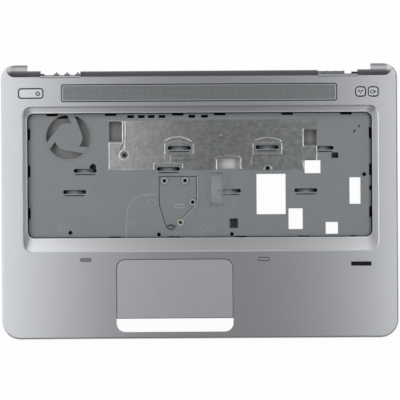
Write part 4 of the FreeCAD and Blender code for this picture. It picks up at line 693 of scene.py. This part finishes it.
def rounded_path(x0, x1, y0, y1, front_r, back_r):
    """A rectangle with round corners, anticlockwise from the front left: quarter circles joined
    by straight sides."""
    corners = (
        (x0 + front_r, y0 + front_r, front_r, 180), (x1 - front_r, y0 + front_r, front_r, 270),
        (x1 - back_r, y1 - back_r, back_r, 0), (x0 + back_r, y1 - back_r, back_r, 90))
    turns = [arc(x, y, radius, start, start + 90, CORNER_POINTS) for x, y, radius, start in corners]
    return np.concatenate(turns)


# Grille rim: the rolled edge of the painted steel, a little lighter and brighter than the sheet.
rim_paint = plain_finish("rolled_steel_edge", "a6a9ac", "aeb1b4", 0.6, 0.4, 0.7)
RIM_WIDTH = 0.9
RIM_HEIGHT = 0.17
RIM_CORNER = 2.0
rim_x = GRILLE[2] / 2 - RIM_WIDTH / 2
rim_y = GRILLE[3] / 2 - RIM_WIDTH / 2
rim_line = rounded_path(-rim_x, rim_x, -rim_y, rim_y, RIM_CORNER, RIM_CORNER) + GRILLE[:2]
rim_section = round_section(RIM_WIDTH, RIM_HEIGHT)
rim = carried("speaker_grille_rim", rim_line, rim_section, GRILLE_TOP, rim_paint, "root")

# Screen-printed ink: flat dark grey, without gloss.
ink = plain_finish("grey_printing_ink", "34363a", "404347", 0.4, 0.6)
# Signs on the keys: the middle of each key's sign, and lines round it with their widths
POWER, WIRELESS, MUTE = (-137.4, 92.4), (137.6, 92.65), (148.4, 92.65)
SIGNS = (
    ("power_icon_ring", POWER, arc(0.0, 0.0, 1.5, 0, 360), 1.0, "power_key", True),
    ("wireless_icon_stem", WIRELESS, ((-0.2, -1.8), (-0.2, -0.4)), 1.0, "wireless_key", False),
    ("wireless_icon_left", WIRELESS, ((-1.9, 1.1), (-0.6, 0.1)), 1.4, "wireless_key", False),
    ("wireless_icon_right", WIRELESS, ((0.5, 0.1), (1.8, 1.1)), 1.4, "wireless_key", False),
    ("mute_icon_ring", MUTE, arc(0.0, 0.0, 1.0, 0, 360) * (1.8, 1.25) - (0.55, 0.1), 0.8,
     "mute_key", True),
    ("mute_icon_dot", MUTE, ((0.4, 0.0), (2.1, 0.0)), 1.7, "mute_key", False))
for name, middle, line, width, body, closed in SIGNS:
    carried(name, np.add(line, middle), flat_section(width), DECK_Z, ink, body, closed)

# Dark lines round the touch sheet and the lost right pad's recess: painted shadow, laid where the
# gaps lie in shade. Nearly black, dull resin; the same paint colours the small dark stops and
# ticks.
dark_resin_and_gap_shadow = plain_finish("dark_resin_and_painted_gap_shadow", "1e1f21", "28292b", 0.5, 0.9)
SHEET_TOP = 11.4
GAP_SHADOWS = (
    ("touch_sheet_gap_shadow", (-71.1, 27.9, -99.45, -49.3, 0.3, 7.2), 0.5),
    ("right_recess_gap_shadow", (49.15, 59.25, -51.0, -47.8, 1.55, 1.55), 0.9))
for name, sides, width in GAP_SHADOWS:
    gap_shadow_line = rounded_path(*sides)
    carried(name, gap_shadow_line, flat_section(width), SHEET_TOP, dark_resin_and_gap_shadow, "root")

# Low lines of the tray: painted shade and painted highlights along the edges of the service
# pocket, its stud rings, tab and oval, and faint marks of the ribs below
# Painted shade: grey resin darkened into a thin line on an edge that lies in shade.
edge_painted_shade = plain_finish("painted_shade_tray_edge", "3c3f41", "44474a", 0.6, 0.6)
# Painted highlight: grey resin lightened into a pale, thin line on an edge that takes the light.
edge_painted_highlight = plain_finish("painted_highlight_tray_edge", "a2a6a8", "aaaeb0", 0.6, 0.5)
# Sink marks over ribs: the same resin, hardly lighter than the tray; it also draws the faint
# painted highlight beside the pocket's left edge.
rib_mark = plain_finish("sink_mark_resin", "8a8e91", "8e9295", 0.8, 0.5)
# Turned brass, pale on its rim: a bright, warm ring.
brass_rim = plain_finish("turned_brass_rim", "d8d2b4", "f4f0dc", 0.5, 0.35, 0.6)
POCKET_Z = 5.2
TAB_Z = 5.7
# Each line's name, height, path, width and finish
TRAY_LINES = (
    ("pocket_left", POCKET_Z, ((-34.7, 21.6), (-34.7, -2.7), (-28.9, -21.3)), 0.7, edge_painted_shade),
    ("pocket_left_light", FLOOR_Z, ((-35.5, 21.8), (-35.5, -2.5), (-29.6, -21.6)), 0.6, rib_mark),
    ("pocket_back", POCKET_Z, ((-35.0, 21.3), (-2.5, 21.3)), 0.7, edge_painted_shade),
    ("pocket_right", POCKET_Z, ((-2.8, 21.6), (-2.8, -1.8), (-14.6, -13.5)), 0.7, edge_painted_shade),
    ("pocket_right_light", FLOOR_Z, ((-2.0, 21.8), (-2.0, -2.1), (-14.0, -14.1)), 0.5, edge_painted_highlight),
    ("tab_back", TAB_Z, ((-22.6, -2.6), (-13.0, -2.6)), 0.5, edge_painted_highlight),
    ("tab_front", TAB_Z, ((-22.6, -5.7), (-13.0, -5.7)), 0.5, edge_painted_highlight),
    ("tab_left", TAB_Z, ((-22.4, -5.9), (-22.4, -2.4)), 0.5, edge_painted_highlight),
    ("tab_right", TAB_Z, ((-13.2, -5.9), (-13.2, -2.4)), 0.5, edge_painted_highlight),
    ("tick_a", FLOOR_Z, ((131.9, 58.0), (133.1, 60.4)), 1.3, dark_resin_and_gap_shadow),
    ("tick_b", FLOOR_Z, ((136.0, 62.4), (137.1, 64.4)), 1.2, dark_resin_and_gap_shadow),
    ("rib_sweep", FLOOR_Z, (
        (-63.0, -30.6), (-62.9, -24.0), (-62.5, -12.0), (-61.3, -5.0), (-58.5, 0.0), (-55.0, 3.0),
        (-51.5, 4.6), (-45.0, 6.0), (-37.0, 6.5)), 1.2, rib_mark))
for name, z, line, width, material in TRAY_LINES:
    carried("tray_" + name, line, flat_section(width), z, material, "root", False)
# Each ring's name, middle, height, half length in X and in Y, width and finish
TRAY_RINGS = (
    ("stud_left", -30.1, 17.7, FLOOR_Z, 2.4, 2.4, 0.6, edge_painted_highlight),
    ("stud_middle", -12.5, 17.8, FLOOR_Z, 2.4, 2.4, 0.6, edge_painted_highlight),
    ("stud_right", -6.0, -0.7, FLOOR_Z, 2.4, 2.4, 0.6, edge_painted_highlight),
    ("oval", -24.7, -22.0, 6.4, 3.0, 1.7, 1.4, edge_painted_shade),
    ("insert_rim", -16.5, -18.0, 6.3, 2.4, 2.4, 0.9, brass_rim),
    ("round_mark_a", -41.0, -1.0, FLOOR_Z, 3.4, 2.8, 0.6, rib_mark),
    ("round_mark_b", -118.1, -22.8, FLOOR_Z, 2.8, 2.6, 0.5, rib_mark),
    ("round_mark_c", -57.5, -20.2, FLOOR_Z, 2.8, 2.8, 0.5, rib_mark),
    ("round_mark_d", 3.6, -22.8, FLOOR_Z, 2.8, 2.8, 0.5, rib_mark),
    ("round_mark_e", 11.2, -22.8, FLOOR_Z, 2.4, 2.4, 0.5, rib_mark))
for name, x, y, z, half_x, half_y, width, material in TRAY_RINGS:
    ring_line = arc(0, 0, 1, 0, 360) * (half_x, half_y) + (x, y)
    carried("tray_" + name, ring_line, flat_section(width), z, material, "root")

# Small dark stops on the rear ledge, one in each gap: low and high X, and Y
STOPS = (("left", -135.6, -131.8, 108.6), ("right", 130.0, 135.6, 109.1))
STOP_SECTION = flat_section(1.5, 1.2)
STOP_Z = 8.8
for side, x0, x1, y in STOPS:
    stop_line = [(x0, y), (x1, y)]
    carried("hinge_stop_" + side, stop_line, STOP_SECTION, STOP_Z, dark_resin_and_gap_shadow, "root", False)

# Spring tongues: leaves bent down at both ends, seen through the slots of the tray. The middles
# of the slots; then a leaf's half length and half width, how far its crest lies below the floor,
# how far its ends drop and its back edge leans down, its sheet, and the heights over which its
# painted shade turns light
SLOTS = (
    (-97.8, 26.7), (-106.9, 8.6), (-17.2, 45.7), (-26.6, 27.8), (57.9, 45.9), (25.5, 8.8),
    (104.9, 45.0), (90.8, 8.9))
TONGUE_HALF = 9.7
TONGUE_SIDE = 1.7
TONGUE_BELOW = 0.5
TONGUE_DROP = 3.4
TONGUE_LEAN = 0.35
TONGUE_SHEET = 0.5
TONGUE_SHADE_HEIGHTS = (2.6, 5.5)


def tongue_finish():
    """Grey resin with painted shade: near black where the leaf dips deep, lighter towards its
    crest.
    """
    material, tree = new_material("moulded_spring_tongue")
    place = add(tree, "TexCoord").outputs["Object"]
    z = add(tree, "SeparateXYZ", {"Vector": place}).outputs["Z"]
    low, high = TONGUE_SHADE_HEIGHTS
    height = add(tree, "MapRange", {"Value": z, "From Min": low * MM, "From Max": high * MM})
    colour = shades(tree, height.outputs["Result"], (
        (0.0, "101112"), (0.35, "232527"), (0.75, "484b4c"), (1.0, "787c7d")))
    shader = add(tree, "BsdfPrincipled", {"Base Color": colour, "Roughness": 0.5})
    return finish_material(material, tree, shader.outputs["BSDF"], "7c8083")


tongue_painted_shade = tongue_finish()


def spring_tongue(name, x, y):
    """A leaf over a grid: its height falls with the square of the distance from its middle along
    the slot, and evenly to the back."""
    rows, columns = 21, 5
    along, across = np.meshgrid(
        np.linspace(-1, 1, rows), np.linspace(-1, 1, columns), indexing="ij")
    height = FLOOR_Z - TONGUE_BELOW - TONGUE_DROP * along ** 2 - TONGUE_LEAN * (1 + across)
    points = np.column_stack([
        (x + TONGUE_HALF * along).ravel(), (y + TONGUE_SIDE * across).ravel(), height.ravel()])
    leaf = make_mesh(name, points, grid_faces(rows, columns), tongue_painted_shade, None)
    thicken(leaf, "leaf", TONGUE_SHEET)
    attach(leaf, "root")


for number, (x, y) in enumerate(SLOTS, 1):
    spring_tongue("spring_tongue_%d" % number, x, y)

# Rear lip of the hinge trough between the two gaps: half its length, its low and high Y, its foot
LIP = (101.3, 110.55, 111.65)
LIP_Z = 4.6


def trough_lip(name):
    """The trough's arc goes on over the lip; its section is that arc above a flat underside,
    carried along X."""
    half, y0, y1 = LIP
    y = np.linspace(y1, y0, 5)
    top = TROUGH_AXIS_Z - np.sqrt(TROUGH_R ** 2 - (TROUGH_AXIS_Y - y) ** 2)
    section = list(zip(y - y0, top - LIP_Z)) + [(0.0, 0.0), (y1 - y0, 0.0)]
    line = [(-half, y0), (half, y0)]
    carried(name, line, section, LIP_Z, finishes["silver_cover"], "root", False)


trough_lip("trough_rear_lip")

# Floor, lights and camera

# Windows through the part, how far each shows past its edge, and the part's box on the bench
WINDOWS = (
    (48.7, 73.5, -11.3, 23.1), (75.9, 88.0, -24.3, -6.6), (128.2, 137.6, -2.9, 19.7),
    (107.6, 118.1, -28.4, -18.4), (89.9, 103.4, 23.5, 34.5), (-71.4, 28.2, -112.0, -99.0))
WINDOW_MARGIN = 1.2
PART_EDGE = (-160.0, 160.0, -100.0, 105.0)
# Stretches of the bench under the part that carry darker painted shade and lighter painted light
# than the rest of its painted shade: dark under the outer rows of slots, half lit under the fan
# opening and the open notches, bright under the plate's front notch
DARK_PAINTED_SHADE_CELLS = (
    (-132.0, 132.0, 71.5, 80.0), (-80.0, 138.0, -36.0, -29.0), (-152.0, -145.5, -14.0, 62.0),
    (145.5, 153.0, -14.0, 62.0))
HALF_LIT_PAINTED_CELLS = ((-135.0, -90.0, 33.0, 78.0), (-79.0, -65.0, 48.0, 70.0), (88.0, 101.5, 45.0, 62.0))
BRIGHT_PAINTED_LIGHT_CELLS = ((14.5, 34.5, 24.6, 38.0),)
BENCH_REACH = 6000.0
BENCH_Z = -0.2
# Bench paints: name, share that stays plain white to the eye, and two close shades; the grey
# paints are painted shade and painted light
BENCH_PAINTS = (
    ("white_bench", 0.96, "f0f0f0", "f4f4f4"), ("painted_shade_bench", 0.0, "626466", "686a6c"),
    ("painted_half_light_bench", 0.0, "8a8c8a", "929492"), ("painted_dark_shade_bench", 0.0, "0c0c0d", "101011"),
    ("painted_light_bench", 0.0, "d4d6d4", "dcdedc"))
WHITE, SHADED, HALF_LIT, DARK, BRIGHT = range(5)


def floor_finish(name, white_share, dark, light):
    """Matt bench paint; a share of it stays plain white to the eye, so that only a faint shadow
    shows."""
    material, tree = new_material(name)
    place = add(tree, "TexCoord").outputs["Object"]
    grain = speckle(tree, place, 3.0)
    paint = add(tree, "BsdfPrincipled", {
        "Base Color": tint(tree, grain, *SOFT_MIX, dark, light), "Roughness": 0.9})
    rays = add(tree, "LightPath").outputs
    seen = rays["Is Camera Ray"]
    for kind in ("Is Glossy Ray", "Is Transmission Ray"):
        seen = add(tree, "Math", {0: seen, 1: rays[kind]}, operation="MAXIMUM").outputs[0]
    share = add(tree, "Math", {0: seen, 1: white_share}, operation="MULTIPLY").outputs[0]
    white = add(tree, "Emission", {"Color": linear("ffffff"), "Strength": 1.0})
    both = add(tree, "MixShader", {
        0: share, 1: paint.outputs["BSDF"], 2: white.outputs["Emission"]})
    return finish_material(material, tree, both.outputs["Shader"], light)


def bench():
    """The floor as cells between the edges of the part and of its windows: white round the part
    and in its windows, painted shade under it, with the cells listed above painted darker and
    lighter."""
    windows = np.array(WINDOWS) + WINDOW_MARGIN * np.array([-1, 1, -1, 1])
    part, outside = np.array([PART_EDGE]), np.array([(-BENCH_REACH, BENCH_REACH) * 2])
    lit, bright, dark = np.array(HALF_LIT_PAINTED_CELLS), np.array(BRIGHT_PAINTED_LIGHT_CELLS), np.array(DARK_PAINTED_SHADE_CELLS)
    edges = np.concatenate([windows, lit, bright, dark, part, outside])
    xs, ys = np.unique(edges[:, :2]), np.unique(edges[:, 2:])
    px, py = np.meshgrid(xs, ys, indexing="ij")
    points = np.column_stack([px.ravel(), py.ravel(), np.full(px.size, BENCH_Z)])
    paints = [floor_finish(*paint) for paint in BENCH_PAINTS]
    floor = make_mesh("bench_floor", points, grid_faces(len(xs), len(ys)), paints[WHITE], None)
    for paint in paints[1:]:
        floor.data.materials.append(paint)
    mx, my = np.meshgrid((xs[:-1] + xs[1:]) / 2, (ys[:-1] + ys[1:]) / 2, indexing="ij")
    middle = np.column_stack([mx.ravel(), my.ravel()])
    shade = np.full(len(middle), SHADED)
    for boxes, paint in ((lit, HALF_LIT), (dark, DARK), (bright, BRIGHT), (windows, WHITE)):
        shade[boxed(middle, boxes)] = paint
    shade[~boxed(middle, part)] = WHITE
    floor.data.polygons.foreach_set("material_index", shade.astype(np.int32))


bench()

# Softboxes: low and high X and Y in metres, and brightness, where 1 is as bright as white
SOFTBOXES = (
    ("left_softbox_inner", -0.42, -0.20, -0.45, 0.80, 1.7),
    ("left_softbox_outer", -0.95, -0.42, -0.45, 0.80, 2.6),
    ("right_softbox", 0.30, 0.60, -0.45, 0.80, 3.3),
    ("back_softbox", -0.20, 0.20, 0.40, 0.80, 1.0))
LAMP_HEIGHT = 0.6


def softbox(name, x0, x1, y0, y1, brightness):
    """A lamp box that faces down over a stretch of the bench."""
    lamp = bpy.data.lights.new(name, "AREA")
    lamp.shape = "RECTANGLE"
    lamp.size, lamp.size_y = x1 - x0, y1 - y0
    lamp.energy = math.pi * lamp.size * lamp.size_y * brightness
    holder = bpy.data.objects.new(name, lamp)
    holder.location = ((x0 + x1) / 2, (y0 + y1) / 2, LAMP_HEIGHT)
    bpy.context.scene.collection.objects.link(holder)


for box in SOFTBOXES:
    softbox(*box)


def studio_world():
    """A studio with pale walls and a dim ceiling: brightness falls from the walls' height to
    straight overhead."""
    world = bpy.data.worlds.new("studio_walls")
    bpy.context.scene.world = world
    world.use_nodes = True
    tree = world.node_tree
    tree.nodes.clear()
    way = add(tree, "TexCoord").outputs["Generated"]
    height = add(tree, "SeparateXYZ", {"Vector": way}).outputs["Z"]
    strength = add(tree, "MapRange", {
        "Value": height, "From Min": 0.45, "From Max": 0.55, "To Min": 0.43, "To Max": 0.03},
        interpolation_type="SMOOTHSTEP")
    light = add(tree, "Background", {
        "Color": linear("ffffff"), "Strength": strength.outputs["Result"]})
    output = add(tree, "OutputWorld")
    tree.links.new(light.outputs["Background"], output.inputs["Surface"])


studio_world()

# Camera straight above the part, in metres: its height over the deck, the width it sees at the
# deck, its middle, and its slight turn in radians
CAMERA_HEIGHT = 1.5
VIEW_WIDTH = 340.72 * MM
VIEW_MIDDLE = (0.26 * MM, 1.06 * MM)
VIEW_TURN = -0.0060
lens = bpy.data.cameras.new("photo_lens")
lens.sensor_width = 36.0
lens.lens = lens.sensor_width * CAMERA_HEIGHT / VIEW_WIDTH
lens.clip_end = 100.0
camera = bpy.data.objects.new("photo_camera", lens)
camera.location = (*VIEW_MIDDLE, DECK_Z * MM + CAMERA_HEIGHT)
camera.rotation_euler = (0.0, 0.0, VIEW_TURN)
bpy.context.scene.collection.objects.link(camera)
bpy.context.scene.camera = camera
bpy.context.scene.view_settings.view_transform = "Standard"
